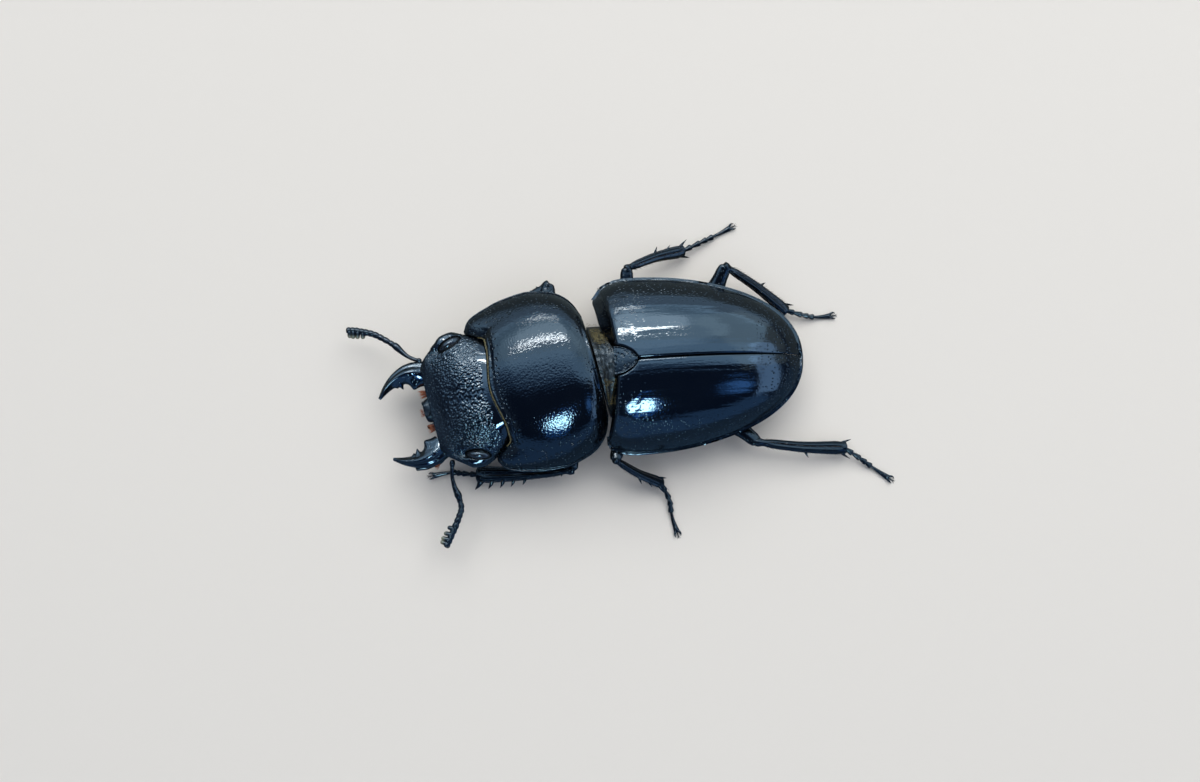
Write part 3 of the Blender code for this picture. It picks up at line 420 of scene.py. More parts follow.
def add_mesh(bm, other):
    """Moves another bmesh's shapes into this one."""
    mesh = bpy.data.meshes.new("part")
    other.to_mesh(mesh)
    other.free()
    bm.from_mesh(mesh)
    bpy.data.meshes.remove(mesh)


def spine(bm, root, tip, radius, lean=(0, 0, 0), columns=10, rows=8):
    """A curved, pointed spine with its root sunk in what it grows from."""
    root, tip = Vector(root), Vector(tip)
    middle = root.lerp(tip, 0.5) + Vector(lean)
    tube(bm, [root, middle, tip], lambda s: radius * (1 - 0.93 * s ** 1.3), (tip - root).orthogonal(),
         columns, rows, (0.0, 0.6))


def set_attribute(made, name, kind, values):
    layer = made.data.attributes.new(name, kind, "POINT")
    key = "vector" if kind == "FLOAT_VECTOR" else "value"
    layer.data.foreach_set(key, values)


def lay_out(made, frame_matrix, lie, pits):
    """Writes each point's place on the flattened shell, in metres, and how strongly it is pitted there."""
    back = frame_matrix.inverted()
    places, marks = [], []
    for vertex in made.data.vertices:
        local = back @ vertex.co
        places.extend(Vector(lie(local)) * MM)
        marks.append(pits(local))
    set_attribute(made, "lie", "FLOAT_VECTOR", places)
    set_attribute(made, "pits", "FLOAT", marks)


# ---- materials

CHITIN_IOR = 1.56
HAIR_IOR = 1.55
PATCH_MM = 1.6                  # spacing of the patches in which plain shell is more or less pitted
CLOUD_MM = 2.5                  # of the faint clouds in its colour and wax
STREAK_MM = 0.32                # of its lengthwise streaks, across them
STREAK_DRAW = (1.0, 0.07, 1.0)  # how far they are drawn out, by axis


def hex_colour(code):
    """An sRGB hex colour as linear RGBA."""
    channels = [int(code[k:k + 2], 16) / 255 for k in (1, 3, 5)]
    return (*[c / 12.92 if c <= 0.04045 else ((c + 0.055) / 1.055) ** 2.4 for c in channels], 1.0)


def add(tree, kind, settings=None, links=None):
    """Adds a node with its settings and links; a setting is a socket's value or the node's own."""
    made = tree.nodes.new("ShaderNode" + kind)
    for name, value in (settings or {}).items():
        if isinstance(name, int) or name in made.inputs:
            made.inputs[name].default_value = value
        else:
            setattr(made, name, value)
    for name, source in (links or {}).items():
        tree.links.new(source, made.inputs[name])
    return made


def surface(name, settings):
    """A new material with its node tree and its shader, whose own sockets take the settings."""
    material = bpy.data.materials.new(name)
    material.use_nodes = True
    shader = material.node_tree.nodes["Principled BSDF"]
    for socket, value in settings.items():
        shader.inputs[socket].default_value = value
    return material, material.node_tree, shader


def noise_of(tree, where, spacing_mm, detail):
    """Soft noise of one real spacing."""
    settings = {"Scale": 1 / (spacing_mm * MM), "Detail": detail}
    return add(tree, "TexNoise", settings, {"Vector": where}).outputs["Fac"]


def remap(tree, value, spread, onto, kind="LINEAR"):
    """Carries one range of values onto another."""
    settings = {"From Min": spread[0], "From Max": spread[1], "To Min": onto[0], "To Max": onto[1],
                "interpolation_type": kind}
    return add(tree, "MapRange", settings, {"Value": value}).outputs["Result"]


def relief(tree, height, depth_mm, below=None):
    """Relief of one real depth, laid over the relief below it."""
    links = {"Height": height, "Normal": below} if below else {"Height": height}
    return add(tree, "Bump", {"Strength": 1.0, "Distance": depth_mm * MM}, links).outputs["Normal"]


def blend(tree, first, second, share):
    """A mix of two hex colours by a share."""
    settings = {"data_type": "RGBA", 6: hex_colour(first), 7: hex_colour(second)}
    return add(tree, "Mix", settings, {0: share}).outputs[2]


def chitin(name, dark, light, gloss, pit_mm, pit_depth_mm, laid=False, shine=0.5, grain_mm=0.17,
           grain_depth_mm=0.005, pit_roughness=0.06, streak_depth_mm=0.0):
    """Beetle shell: a near-black waxed shell with pits where the piece marks them and a fine leathery grain.

    `gloss` is its roughness where smooth and `shine` its specular level. Pits, grain and the faint
    lengthwise streaks are worked out from their real spacing and depth.
    """
    material, tree, shader = surface(name, {"IOR": CHITIN_IOR, "Specular IOR Level": shine})
    if laid:
        where = add(tree, "Attribute", {"attribute_name": "lie"}).outputs["Vector"]
        amount = add(tree, "Attribute", {"attribute_name": "pits"}).outputs["Fac"]
    else:
        where = add(tree, "TexCoord").outputs["Object"]
        amount = remap(tree, noise_of(tree, where, PATCH_MM, 2.0), (0.4, 0.6), (0.35, 0.9))
    cells = add(tree, "TexVoronoi", {"Scale": 1 / (pit_mm * MM), "Randomness": 0.8}, {"Vector": where})
    hole = remap(tree, cells.outputs["Distance"], (0.12, 0.36), (1.0, 0.0), "SMOOTHSTEP")
    sunk = add(tree, "Math", {"operation": "MULTIPLY"}, {0: hole, 1: amount})
    level = add(tree, "Math", {"operation": "SUBTRACT", 0: 1.0}, {1: sunk.outputs[0]})
    normal = relief(tree, level.outputs[0], pit_depth_mm)
    normal = relief(tree, noise_of(tree, where, grain_mm, 1.0), grain_depth_mm, normal)
    if streak_depth_mm:
        drawn = add(tree, "VectorMath", {"operation": "MULTIPLY", 1: STREAK_DRAW}, {0: where})
        streaks = noise_of(tree, drawn.outputs[0], STREAK_MM, 2.0)
        normal = relief(tree, streaks, streak_depth_mm, normal)
    tree.links.new(normal, shader.inputs["Normal"])
    cloud = noise_of(tree, where, CLOUD_MM, 3.0)
    tree.links.new(blend(tree, dark, light, cloud), shader.inputs["Base Color"])
    film = remap(tree, cloud, (0.3, 0.7), (gloss * 0.8, gloss * 1.25))
    worn = add(tree, "Math", {"operation": "MULTIPLY_ADD", 1: pit_roughness}, {0: amount, 2: film})
    tree.links.new(worn.outputs[0], shader.inputs["Roughness"])
    return material


def bristle(name, root, tip, roughness):
    """Hair of one colour that bleaches to a lighter tip, by the piece's own root-to-tip attribute."""
    material, tree, shader = surface(name, {"IOR": HAIR_IOR, "Roughness": roughness})
    length = add(tree, "Attribute", {"attribute_name": "tip"})
    tree.links.new(blend(tree, root, tip, length.outputs["Fac"]), shader.inputs["Base Color"])
    return material


# Wing cases: a deep, almost mirror-like blue-black, faintly streaked lengthwise and stippled at the sides
CASE_SHELL = chitin("waxed_wing_case_chitin", "#03060b", "#070b12", 0.08, 0.27, 0.05, laid=True, shine=0.6,
                    streak_depth_mm=0.014)
# Pronotum: the same polish over a fine orange-peel grain, its sides coarsely pitted
SHIELD_SHELL = chitin("polished_pronotum_chitin", "#03060b", "#070b12", 0.08, 0.38, 0.11, laid=True,
                      shine=0.47, grain_mm=0.2, grain_depth_mm=0.016, streak_depth_mm=0.005)
# Head: glitters on the ridges of its mesh, and is duller in front
HEAD_SHELL = chitin("wrinkled_head_chitin", "#04070c", "#090d14", 0.06, 0.2, 0.025, laid=True, shine=0.58,
                    pit_roughness=0.22)
# Upper lip: a plain dark satin
LIP_SHELL = chitin("smooth_lip_chitin", "#07090d", "#0c1016", 0.24, 0.2, 0.03, shine=0.3)
# Scutellum: as dark as the rest, its gloss broken by coarse pits
SCUTELLUM_SHELL = chitin("pitted_scutellum_chitin", "#05070a", "#0a0d11", 0.12, 0.3, 0.1, laid=True,
                         shine=0.45)
# Jaws: the hardest and shiniest shell, with a few small pits
JAW_SHELL = chitin("polished_jaw_chitin", "#040609", "#080a0e", 0.055, 0.34, 0.03, shine=0.7,
                   pit_roughness=0.02)
# Legs: glossy black, pitted all over
LEG_SHELL = chitin("glossy_leg_chitin", "#040609", "#080b0f", 0.09, 0.26, 0.05, shine=0.36)
# Underside: brown-black with a soft sheen
BELLY_SHELL = chitin("satin_belly_chitin", "#080809", "#120f0e", 0.26, 0.28, 0.05, shine=0.4)
# Feelers and palps: glossy black and nearly smooth
FEELER_SHELL = chitin("glossy_feeler_chitin", "#050609", "#0a0c10", 0.08, 0.16, 0.012, shine=0.38)
# Waist: dull skin-like shell, browner than the rest
WAIST_SHELL = chitin("dull_waist_chitin", "#0e0e0c", "#1b1a16", 0.34, 0.26, 0.08, shine=0.4)
# Eyes: a clear smooth cornea, grey beside the shell, over dark facets
EYE_CORNEA = chitin("eye_cornea", "#14171b", "#23272c", 0.09, 0.045, 0.003, grain_depth_mm=0.001)
# Feeler club: glossy black leaves whose tips wear a grey-green nap
CLUB_LEAF = bristle("nap_tipped_club_leaf", "#08090c", "#6f7462", 0.3)
# Collar and waist: a soft line of dull gold
GOLDEN_HAIR = bristle("golden_bristle", "#5f5633", "#a89d6b", 0.45)
# Mouth: the only warm colour of the beetle
ORANGE_HAIR = bristle("orange_mouth_brush", "#7a3410", "#c8702a", 0.5)
# Shins and feet: a brown fuzz, seen only close by
BROWN_HAIR = bristle("brown_leg_bristle", "#1c140c", "#5c4426", 0.5)


# ---- wing cases

def case_place(side):
    """Places the points of one wing case, whose side is 1 on the left and -1 on the right."""
    def place(across, along):
        """Down the front wall and back to the apex; over the dome, round the bead and under."""
        part, f = sections(along, (CASE_WALL_SHARE, 1.0))
        drop = 1 - f if part == 0 else 0.0
        back = 0.0 if part == 0 else 1 - (1 - f) ** 1.6
        stretch_at, g = sections(across, (0.74, 0.88, 1.0))
        spread = sin(g * pi / 2) if stretch_at == 0 else 1.0
        front = case_front_y(spread)
        y = front + (CASE_APEX_Y - front) * back
        half = case_half_width(y)
        small = min(1.0, half / 2.5)
        rim = CASE_BEAD * small * (0.4 + 0.6 * ramp(7.0, 15.0, y))
        inner = half - 2 * rim
        gap = min(suture_x(y), inner)
        margin = case_margin_z(y)
        if stretch_at == 0:
            x = gap + (inner - gap) * spread ** 0.9
            z = margin + case_height(y) * dome(x / max(inner, 0.001))
            z -= case_relief(x - gap, y, inner - x, side) * small
            z -= 0.22 * exp(-(y - front) / 0.16)
            z = max(z, margin)
        elif stretch_at == 1:
            turn = pi - g * 1.5 * pi
            x = half - rim + rim * cos(turn)
            z = margin + rim * sin(turn)
        else:
            x = half - rim - g * 0.9 * small
            z = margin - rim + 0.12 * g
        if drop:
            z = max(z - drop ** 0.85 * CASE_WALL_DEEP, min(z, margin - rim))
            y -= case_wall_lean(side, x) * drop ** 1.2
        return Vector((side * x, y, z))
    return place


def case_relief(from_seam, y, from_edge, side):
    """How far the dome is sunk at a point, by its distance from the seam and from the side.

    A bead and a hollow run beside the seam, with faint lines along the dome. A dip lies behind the
    shoulder, beside a hump that is higher on the left case, whose side is 1.
    """
    rear = ramp(9.0, 17.0, y)
    depth = 0.1 * exp(-from_seam / 0.045) - 0.012 * bump(from_seam, 0.16, 0.08)
    depth += (0.015 + 0.05 * rear) * exp(-(from_seam / (0.35 + 0.3 * rear)) ** 2)
    lines = 0.006 * cos(tau * from_seam / 1.15) * ramp(1.0, 2.0, from_seam)
    depth += lines * ramp(0.8, 2.5, from_edge) * ramp(17.0, 13.0, y)
    dip = 0.09 * bump(from_edge, 2.1, 0.7) * bump(y, 2.1, 1.0)
    hump = CASE_HUMPS[side] * bump(from_edge, 3.7, 1.5) * bump(y, 1.7, 1.35)
    creases = 0.006 * noise.noise(Vector((from_edge * 2.6, y * 3.4, 4.0))) * ramp(4.0, 2.0, y)
    return depth + dip - hump + creases + 0.05 * bump(from_edge, 0.25, 0.18)


def case_pits(local):
    """Pitted close to the sides, behind the shoulders and towards the apex."""
    share = abs(local.x) / max(case_half_width(local.y), 0.01)
    sides = ramp(0.62, 0.95, share)
    shoulder = ramp(5.0, 1.6, local.y) * ramp(0.12, 0.4, share)
    apex = ramp(14.5, 18.5, local.y)
    return min(1.0, 0.06 + 0.9 * sides + 0.5 * shoulder + 0.9 * apex)


def make_elytron(name, side):
    """One wing case: its outer skin, thickened inwards."""
    bm = grid(190, 200, case_place(side))
    weld(bm)
    top = max(bm.faces, key=lambda face: face.calc_center_median().z)
    if top.normal.z < 0:
        bmesh.ops.reverse_faces(bm, faces=bm.faces)
    made = finish(name, "shell", bm, HIND, CASE_SHELL, welded=False)
    solid = made.modifiers.new("thickness", "SOLIDIFY")
    solid.thickness = CASE_THICK * MM
    solid.offset = -1.0

    def lie(local):
        half = max(case_half_width(local.y), 0.01)
        return local.x * (1 + 0.3 * (abs(local.x) / half) ** 4), local.y * 0.8, 0.1 * local.z
    lay_out(made, HIND, lie, case_pits)


def make_scutellum():
    """A small rounded shield, pitted, with a low smooth rim."""
    tip_y = SCUTELLUM_TIP_Y - 0.1
    front_y = SCUTELLUM_FRONT_Y - 0.1

    def place(across, along):
        share, deep = ends_of(along, 0.1, 0.92)
        u = across * 2 - 1
        side, g = sections(abs(u), (0.82, 1.0))
        y = front_y + (tip_y - front_y) * (1 - (1 - share) ** 1.5)
        half = max(suture_x(y) - 0.055, 0.03)
        crown = case_margin_z(y) + case_height(y) * dome(half / CASE_HALF_WIDTH) - 0.1
        v = g if side == 0 else 1.0
        x = half * v * (1 if u > 0 else -1)
        z = crown + 0.05 * (1 - v * v) + 0.09 * bump(v, 0.93, 0.05) - 0.1 * v ** 16
        z -= 0.12 * ramp(tip_y - 0.5, tip_y, y)
        pit = ramp(0.46, 0.1, noise.voronoi(Vector((x, y, 0.0)) / 0.36)[0][0])
        z -= 0.11 * pit * ramp(0.86, 0.74, v)
        z -= 0.9 * max(deep, g if side == 1 else 0.0)
        return Vector((x, y, z))

    bm = grid(150, 110, place)
    made = finish("scutellum", "shell", bm, HIND, SCUTELLUM_SHELL)
    lay_out(made, HIND, lambda p: (p.x, p.y, 0.0), lambda p: 0.3)


# ---- prothorax

def pronotum_place(across, along):
    """Round the plate from the middle of its underside; its ends drop to the underside."""
    stretch_at, g = sections(across, (0.06, 0.11, 0.89, 0.94, 1.0))
    back, drop = ends_of(along, 0.05, 0.96)
    pull = 0.35 * drop * (1 if back == 0 else -1)
    back = back + 0.05 * sin(tau * back)
    share = (-1.0, -1.0, sin((g - 0.5) * pi) * 0.35 + (2 * g - 1) * 0.65, 1.0, 1.0)[stretch_at]
    y = pronotum_front_y(share) * (1 - back)
    half = eased(PRONOTUM_HALF_WIDTHS, -PRONOTUM_LENGTH * (1 - back))
    rim = PRONOTUM_BEAD
    under = PRONOTUM_UNDER_Z
    foot = PRONOTUM_DOME_Z
    if stretch_at != 2:
        side = -1 if stretch_at < 2 else 1
        lap = g if side == -1 else 1 - g
        if stretch_at in (1, 3):
            turn = -pi / 2 + lap * 1.5 * pi
            x = side * (half - rim + rim * cos(turn))
            z = foot + rim * sin(turn)
            return Vector((x, y, z + (under - z) * drop * 0.9))
        z = under + (foot - rim - under) * ramp(0.93, 1.0, lap)
        return Vector((side * (half - rim) * lap, y, z))
    from_front = y - pronotum_front_y(share)
    z = foot + eased(PRONOTUM_HEIGHTS, y) * pronotum_dome(share)
    middle = ramp(0.9, 0.72, abs(share))
    z += (0.05 * bump(from_front, 0.1, 0.12) - 0.07 * bump(from_front, 0.42, 0.16)) * middle
    z += 0.07 * bump(y, -0.13, 0.1) - 0.08 * bump(y, -0.42, 0.18)
    z -= 0.16 * exp(-max(from_front, 0.0) / 0.06) + 0.16 * exp(y / 0.06)
    z = max(z, foot)
    return Vector((share * (half - 2 * rim), y + pull, z + (under - z) * drop))


def pronotum_pits(local):
    """Coarsely pitted down the sides, along the rear edge and a little behind the collar."""
    half = eased(PRONOTUM_HALF_WIDTHS, local.y)
    share = abs(local.x) / half
    side = ramp(0.7, 0.83, share)
    rear = ramp(-1.1, -0.5, local.y) * 0.8
    front = ramp(1.5, 0.4, local.y - pronotum_front_y(share)) if local.y < -8 else 0.0
    return max(0.04, side, rear, 0.7 * front)


def make_pronotum():
    """The plate over the prothorax, its look laid out flat from above."""
    bm = grid(210, 150, pronotum_place)
    made = finish("pronotum", "shell", bm, FORE, SHIELD_SHELL)

    def lie(local):
        half = eased(PRONOTUM_HALF_WIDTHS, local.y)
        return local.x * (1 + 0.25 * (abs(local.x) / half) ** 4), local.y, 0.15 * local.z
    lay_out(made, FORE, lie, pronotum_pits)


# ---- head

def head_bay(x):
    """How far back the head's rear edge lies under the wave of the collar."""
    return COLLAR_BAY * ramp(0.0, 4.3, abs(x)) - 0.3


def head_place(across, along):
    """A broad boxy head, closed in front and behind; three quarters of the columns lie on top."""
    part, f = sections(along, (0.12, 0.95, 1.0))
    y_share = (0.0, f, 1.0)[part]
    shrink = (f ** 0.8, 1.0, 1 - f)[part]
    y = HEAD_FRONT_Y + (HEAD_REAR_Y - HEAD_FRONT_Y) * y_share
    half_turn, g = sections(across, (0.76, 1.0))
    turn = pi * half_turn + pi * g
    high = half_turn == 0
    reach = eased(HEAD_TOPS if high else HEAD_BOTTOMS, y) - HEAD_SIDE_Z
    x = eased(HEAD_HALF_WIDTHS, y) * power(cos(turn), 0.8)
    z = HEAD_SIDE_Z + abs(reach) * power(sin(turn), 0.7 if high else 0.85)
    nose = HEAD_SIDE_Z - 0.7
    y -= 0.1 * (1 - shrink) if part == 0 else 0.0
    y += y_share ** 4 * head_bay(x)
    return Vector((x * shrink, y, nose + (z - nose) * shrink))


def by_eye(p):
    """A point's place about the nearer eye, in the eye's own slanted frame: (out, back) in mm."""
    out, back = abs(p.x) - EYE.x, p.y - EYE.y
    turn = radians(EYE_SLANT)
    return out * cos(turn) - back * sin(turn), out * sin(turn) + back * cos(turn)


def head_form(p):
    """The head's own relief: hollows round the eyes, ridges outside them, a dished front, sloped corners.

    Below, each side is notched under its eye. On the left the rear rises a little, to catch the light.
    """
    side = 1 if p.x > 0 else -1
    out = abs(p.x)
    x, z = p.x, p.z
    eye_out, eye_back = by_eye(p)
    ring = sqrt((eye_out / 0.4) ** 2 + (eye_back / 1.02) ** 2)
    recess = sqrt((eye_out / 0.4) ** 2 + ((eye_back + 1.15) / 0.5) ** 2)
    if z > HEAD_SIDE_Z:
        z -= 0.5 * ramp(1.4, 1.05, ring) + 0.24 * ramp(1.4, 0.5, recess)
        ridge = bump(eye_out, 1.12 - 0.16 * eye_back ** 2, 0.46) * bump(eye_back, -0.6, 1.7)
        z += 0.36 * ridge
        z += 0.05 * bump(eye_out, -0.85, 0.25) * bump(eye_back, 0.0, 0.9)
        z -= 0.25 * bump(out, 5.2, 0.5) * bump(p.y, -15.4, 0.7)
        z -= 0.3 * bump(p.x, 0.0, 2.6) * bump(p.y, -16.3, 0.9)
        z += 0.12 * bump(out, 2.4, 1.5) * bump(p.y, -13.2, 1.4)
        z -= 0.2 * ramp(3.2, 4.7, out) * ramp(-13.2, -12.1, p.y)
        z += 0.17 * max(0.0, p.y + 11.25) * bump(p.x, 3.4, 1.0)
    else:
        notch = bump(p.z, 5.1, 0.62) * bump(p.y, EYE.y + 0.15, 1.15)
        x -= side * 0.62 * notch * ramp(5.4, 6.2, out)
    return Vector((x, p.y, z))


def wrinkles(p):
    """Close grains like rice, about 0.17 mm apart, drawn out along the head and fanning outwards in front."""
    side = 1 if p.x > 0 else -1
    fan = ramp(1.0, 5.5, abs(p.x))
    warp = 0.16 * noise.noise(p * 1.3)
    across = p.x - side * 0.8 * fan * (p.y - EYE.y) + warp
    at = Vector((across / 0.165, (p.y + warp) / (0.46 + 0.24 * fan), p.z / 0.4))
    far = noise.voronoi(at)[0]
    return min(1.0, (far[1] - far[0]) * 3.0) - 0.12 * far[0] ** 2


def wrinkle_share(p):
    """Strongest over the crown; finer in front; none at the back, in the eyes or below."""
    rear = HEAD_REAR_Y + head_bay(p.x)
    smooth = 0.5 * bump(abs(p.x), 3.4, 0.8)
    behind = ramp(rear - 0.35 - smooth, rear - 0.75 - smooth, p.y)
    front = 0.25 + 0.75 * ramp(-16.5, -15.2, p.y)
    above = ramp(HEAD_SIDE_Z - 0.2, HEAD_SIDE_Z + 0.6, p.z)
    eye_out, eye_back = by_eye(p)
    ring = sqrt(((eye_out - 0.35) / 0.92) ** 2 + ((eye_back + 0.2) / 1.35) ** 2)
    return behind * front * above * ramp(0.95, 1.15, ring)


def make_head():
    """The capsule, given its relief and then its wrinkles along the surface's own direction."""
    bm = grid(400, 170, head_place)
    bmesh.ops.remove_doubles(bm, verts=bm.verts, dist=WELD)
    for vertex in bm.verts:
        vertex.co = head_form(vertex.co)
    bmesh.ops.recalc_face_normals(bm, faces=bm.faces)
    bm.normal_update()
    lifts = [(vertex, vertex.normal * (wrinkles(vertex.co) - 0.5) * WRINKLE_HEIGHT
              * wrinkle_share(vertex.co)) for vertex in bm.verts]
    for vertex, lift in lifts:
        vertex.co += lift
    made = finish("head", "shell", bm, FORE, HEAD_SHELL)

    def dullness(p):
        return 0.12 * ramp(-11.2, -11.9, p.y) + 0.75 * ramp(-15.2, -16.2, p.y)
    lay_out(made, FORE, lambda p: p, dullness)


def make_eye(name, side):
    """A smooth cornea, flattened above, longer along the head than across it and slanted outwards behind."""
    bm = bmesh.new()
    slant = Matrix.Rotation(radians(-side * EYE_SLANT), 4, "Z")
    place = Matrix.Translation((side * EYE.x, EYE.y, EYE.z)) @ slant @ Matrix.Diagonal((*EYE_RADII, 1.0))
    bmesh.ops.create_uvsphere(bm, u_segments=64, v_segments=40, radius=1.0)
    for vertex in bm.verts:
        vertex.co.z = power(vertex.co.z, 0.7)
    bmesh.ops.transform(bm, matrix=place, verts=bm.verts)
    finish(name, "cornea", bm, FORE, EYE_CORNEA)


def make_labrum():
    """The upper lip: a short plate with two rounded lobes."""
    bm = bmesh.new()
    front = HEAD_FRONT_Y + 0.2

    def lobes(share, turn, out_side, out_up):
        return out_side, out_up * (1 + 0.25 * bump(abs(cos(turn)), 0.55, 0.25) * ramp(0.3, 1.0, share))
    tube(bm, [(0, front, 5.5), (0, front - 0.35, 5.48), (0, front - 0.75, 5.42)],
         lambda s: 1.3 - 0.25 * s * s, (1, 0, 0), 48, 24, (0.0, 0.25), lobes, lambda s: 0.72 - 0.16 * s)
    finish("labrum", "plate", bm, FORE, LIP_SHELL)


def make_mandible(name, side):
    """A short sickle of a jaw: a crest along its back, a strong inner tooth, a small one, a root hump."""
    root = Vector((side * JAW_ROOT_X, HEAD_FRONT_Y - 0.05, JAW_ROOT_Z))
    turn_by = Matrix.Rotation(radians(JAW_OPENINGS[name]) * side, 3, "Z")
    way = [root + turn_by @ Vector((side * x, y, z)) for x, y, z in JAW_WAY]

    def jaw_section(share, turn, out_side, out_up):
        high, out = sin(turn), cos(turn) * side
        inward = max(0.0, -out)
        tooth = 0.55 * bump(share, 0.5, 0.05) + 0.24 * bump(share, 0.6, 0.03) + 0.5 * bump(share, 0.17, 0.1)
        crest = 0.22 * max(0.0, high) ** 10 * ramp(0.02, 0.2, share) * ramp(1.0, 0.8, share)
        groove = 0.2 * bump(out, 0.5, 0.16) * (high > 0) * ramp(0.95, 0.5, share)
        squeeze = 1 - 0.45 * inward ** 2 * min(1.0, tooth * 1.3)
        return out_side + tooth * inward ** 2.2, (out_up * (1 - groove) + crest) * squeeze
    bm = bmesh.new()
    tube(bm, way, lambda s: eased(JAW_WIDTHS, s) / 2, (1, 0, 0), 56, 120, (0.05, 0.3), jaw_section,
         lambda s: eased(JAW_DEPTHS, s) / 2)
    finish("mandible_" + name, "shell", bm, FORE, JAW_SHELL)


def make_mentum():
    """The plate under the mouth, drawn down from the throat."""
    halves = [(-16.9, 0.9), (-16.6, 1.35), (-16.0, 2.0), (-14.8, 2.3), (-13.2, 1.9), (-13.0, 1.6)]
    lows = [(-16.9, 3.3), (-16.4, 2.95), (-16.0, 2.82), (-14.8, 2.7), (-13.2, 2.76), (-13.0, 3.0)]

    def place(across, along):
        u = across * 2 - 1
        y = -13.0 - 3.9 * along
        z = eased(lows, y) + 0.45 * abs(u) ** 6 + 0.05 * cos(u * pi * 2)
        return Vector((eased(halves, y) * sin(u * pi / 2), y, z))
    bm = grid(50, 50, place)
    extruded = bmesh.ops.extrude_edge_only(bm, edges=[e for e in bm.edges if e.is_boundary])
    for vertex in [v for v in extruded["geom"] if isinstance(v, bmesh.types.BMVert)]:
        vertex.co.z = 3.7
    bmesh.ops.holes_fill(bm, edges=[e for e in bm.edges if e.is_boundary])
    finish("mentum", "plate", bm, FORE, BELLY_SHELL)


def joined_limb(node, joints, frame_matrix):
    """A feeler's or palp's row of short joints, each narrow at its root.

    A joint is (way, root radius, end radius), and it reaches its end radius at four fifths of its length.
    """
    bm = bmesh.new()
    for way, root, end in joints:
        tube(bm, way, lambda s: root + (end - root) * sin(min(s * 1.25, 1.0) * pi / 2), UP, 20, 22,
             (0.2, 0.6))
    finish(node, "joints", bm, frame_matrix, FEELER_SHELL)


def make_palps(name, side):
    """The long palp of three joints and the short one of two that hang under the mouth on one side."""
    outer, cuts = MAXILLARY_PALPS[name], MAXILLARY_CUTS
    joints = [(stretch(outer, a, b, (0.03, 0.35, 0.7, 0.97)), 0.15, 0.26) for a, b in zip(cuts, cuts[1:])]
    joined_limb("maxillary_palp_" + name, joints, FORE)
    inner, cuts = [(side * x, y, z) for x, y, z in LABIAL_PALP], LABIAL_CUTS
    joints = [(stretch(inner, a, b, (0.03, 0.5, 0.97)), 0.14, 0.23) for a, b in zip(cuts, cuts[1:])]
    joined_limb("labial_palp_" + name, joints, FORE)


# ---- feelers

def meet(first, second):
    """Two ways drawn on until the first one's end lies inside the second one's root."""
    end, root = Vector(first[-1]), Vector(second[0])
    return [*map(Vector, first[:-1]), end.lerp(root, 0.6)], [end.lerp(root, 0.35), *map(Vector, second[1:])]


def make_antenna(name):
    """A long curved first joint, a stalk of beads that widen outwards, and the club."""
    scape, stalk, club, comb = ANTENNAE[name]
    scape, stalk = meet(scape, stalk)
    stalk, club = meet(stalk, club)
    bm = bmesh.new()
    tube(bm, scape, lambda s: eased(SCAPE_RADII, s), UP, 28, 70, (0.6, 0.8))
    finish("antenna_scape_" + name, "joint", bm, HIND, FEELER_SHELL)
    joints = []
    for n in range(STALK_BEADS):
        way = stretch(stalk, n / STALK_BEADS - 0.02, (n + 0.97) / STALK_BEADS, (0, 0.33, 0.67, 1))
        joints.append((way, 0.17, 0.29 + 0.012 * n))
    joined_limb("antenna_stalk_" + name, joints, HIND)
    make_club(name, club, Vector(comb).normalized())


def make_club(name, club, comb):
    """Four joints, each drawn out to one side as a thick leaf; they touch like a closed comb."""
    axis, leaves = bmesh.new(), bmesh.new()
    count = len(CLUB_LEAVES)
    for n, (reach, lean) in enumerate(CLUB_LEAVES):
        way = stretch(club, n / count - 0.02, (n + 1) / count, (0, 0.5, 1))
        along = (way[2] - way[0]).normalized()
        tube(axis, way, lambda s: 0.22 + 0.12 * sin(s * pi / 2), UP, 20, 14, (0.4, 0.6))
        lean = along * lean
        blade = [way[1], way[1] + comb * reach * 0.5 + lean * 0.4, way[1] + comb * reach + lean]
        tube(leaves, blade, lambda s: 0.26 + 0.05 * sin(s * pi), along.cross(comb), 24, 24, (0.2, 1.0),
             half_up=lambda s: 0.255 - 0.03 * s)
    finish("antenna_club_" + name, "axis", axis, HIND, FEELER_SHELL)
    made = finish("antenna_club_" + name, "leaves", leaves, HIND, CLUB_LEAF, replaces=False)
    back = HIND.inverted()
    middle = on_curve(club, 0.5)
    reaches = [(back @ vertex.co - middle).dot(comb) for vertex in made.data.vertices]
    set_attribute(made, "tip", "FLOAT", [ramp(0.4, 0.72, reach) for reach in reaches])


# ---- legs

Shin = namedtuple("Shin", "way side along half_width half_depth")


def make_leg(name):
    """One leg from its root joint to its claws, with its bristles."""
    hip, knee, ankle, toes = LEGS[name]
    outward = 1 if name.endswith("left") else -1
    pair = name.split("_")[0]
    width, depth, shin_widths, shin_depth, bow, spines = LEG_SHAPES[pair]
    hip, knee, ankle = Vector(hip), Vector(knee), Vector(ankle)
    thigh = (knee - hip).normalized()
    make_thigh(name, hip + thigh * THIGH_STARTS[pair], knee - thigh * KNEE_SINK, width, depth)
    along = (ankle - knee).normalized()
    side = squared(Vector((outward, 0, 0.4 if pair == "mid" else 0)), along)
    shin = Shin([knee - along * SHIN_SINK, (knee + ankle) / 2 + side * bow, ankle], side, along,
                lambda s: eased(shin_widths, s) / 2, lambda s: shin_depth / 2 * (0.72 + 0.28 * s))
    make_shin(name, shin, spines)
    make_foot(name, [ankle - along * FOOT_SINK, *toes[1:]])
    make_coxa(name, outward, hip, thigh)
    make_leg_hairs(name, shin)


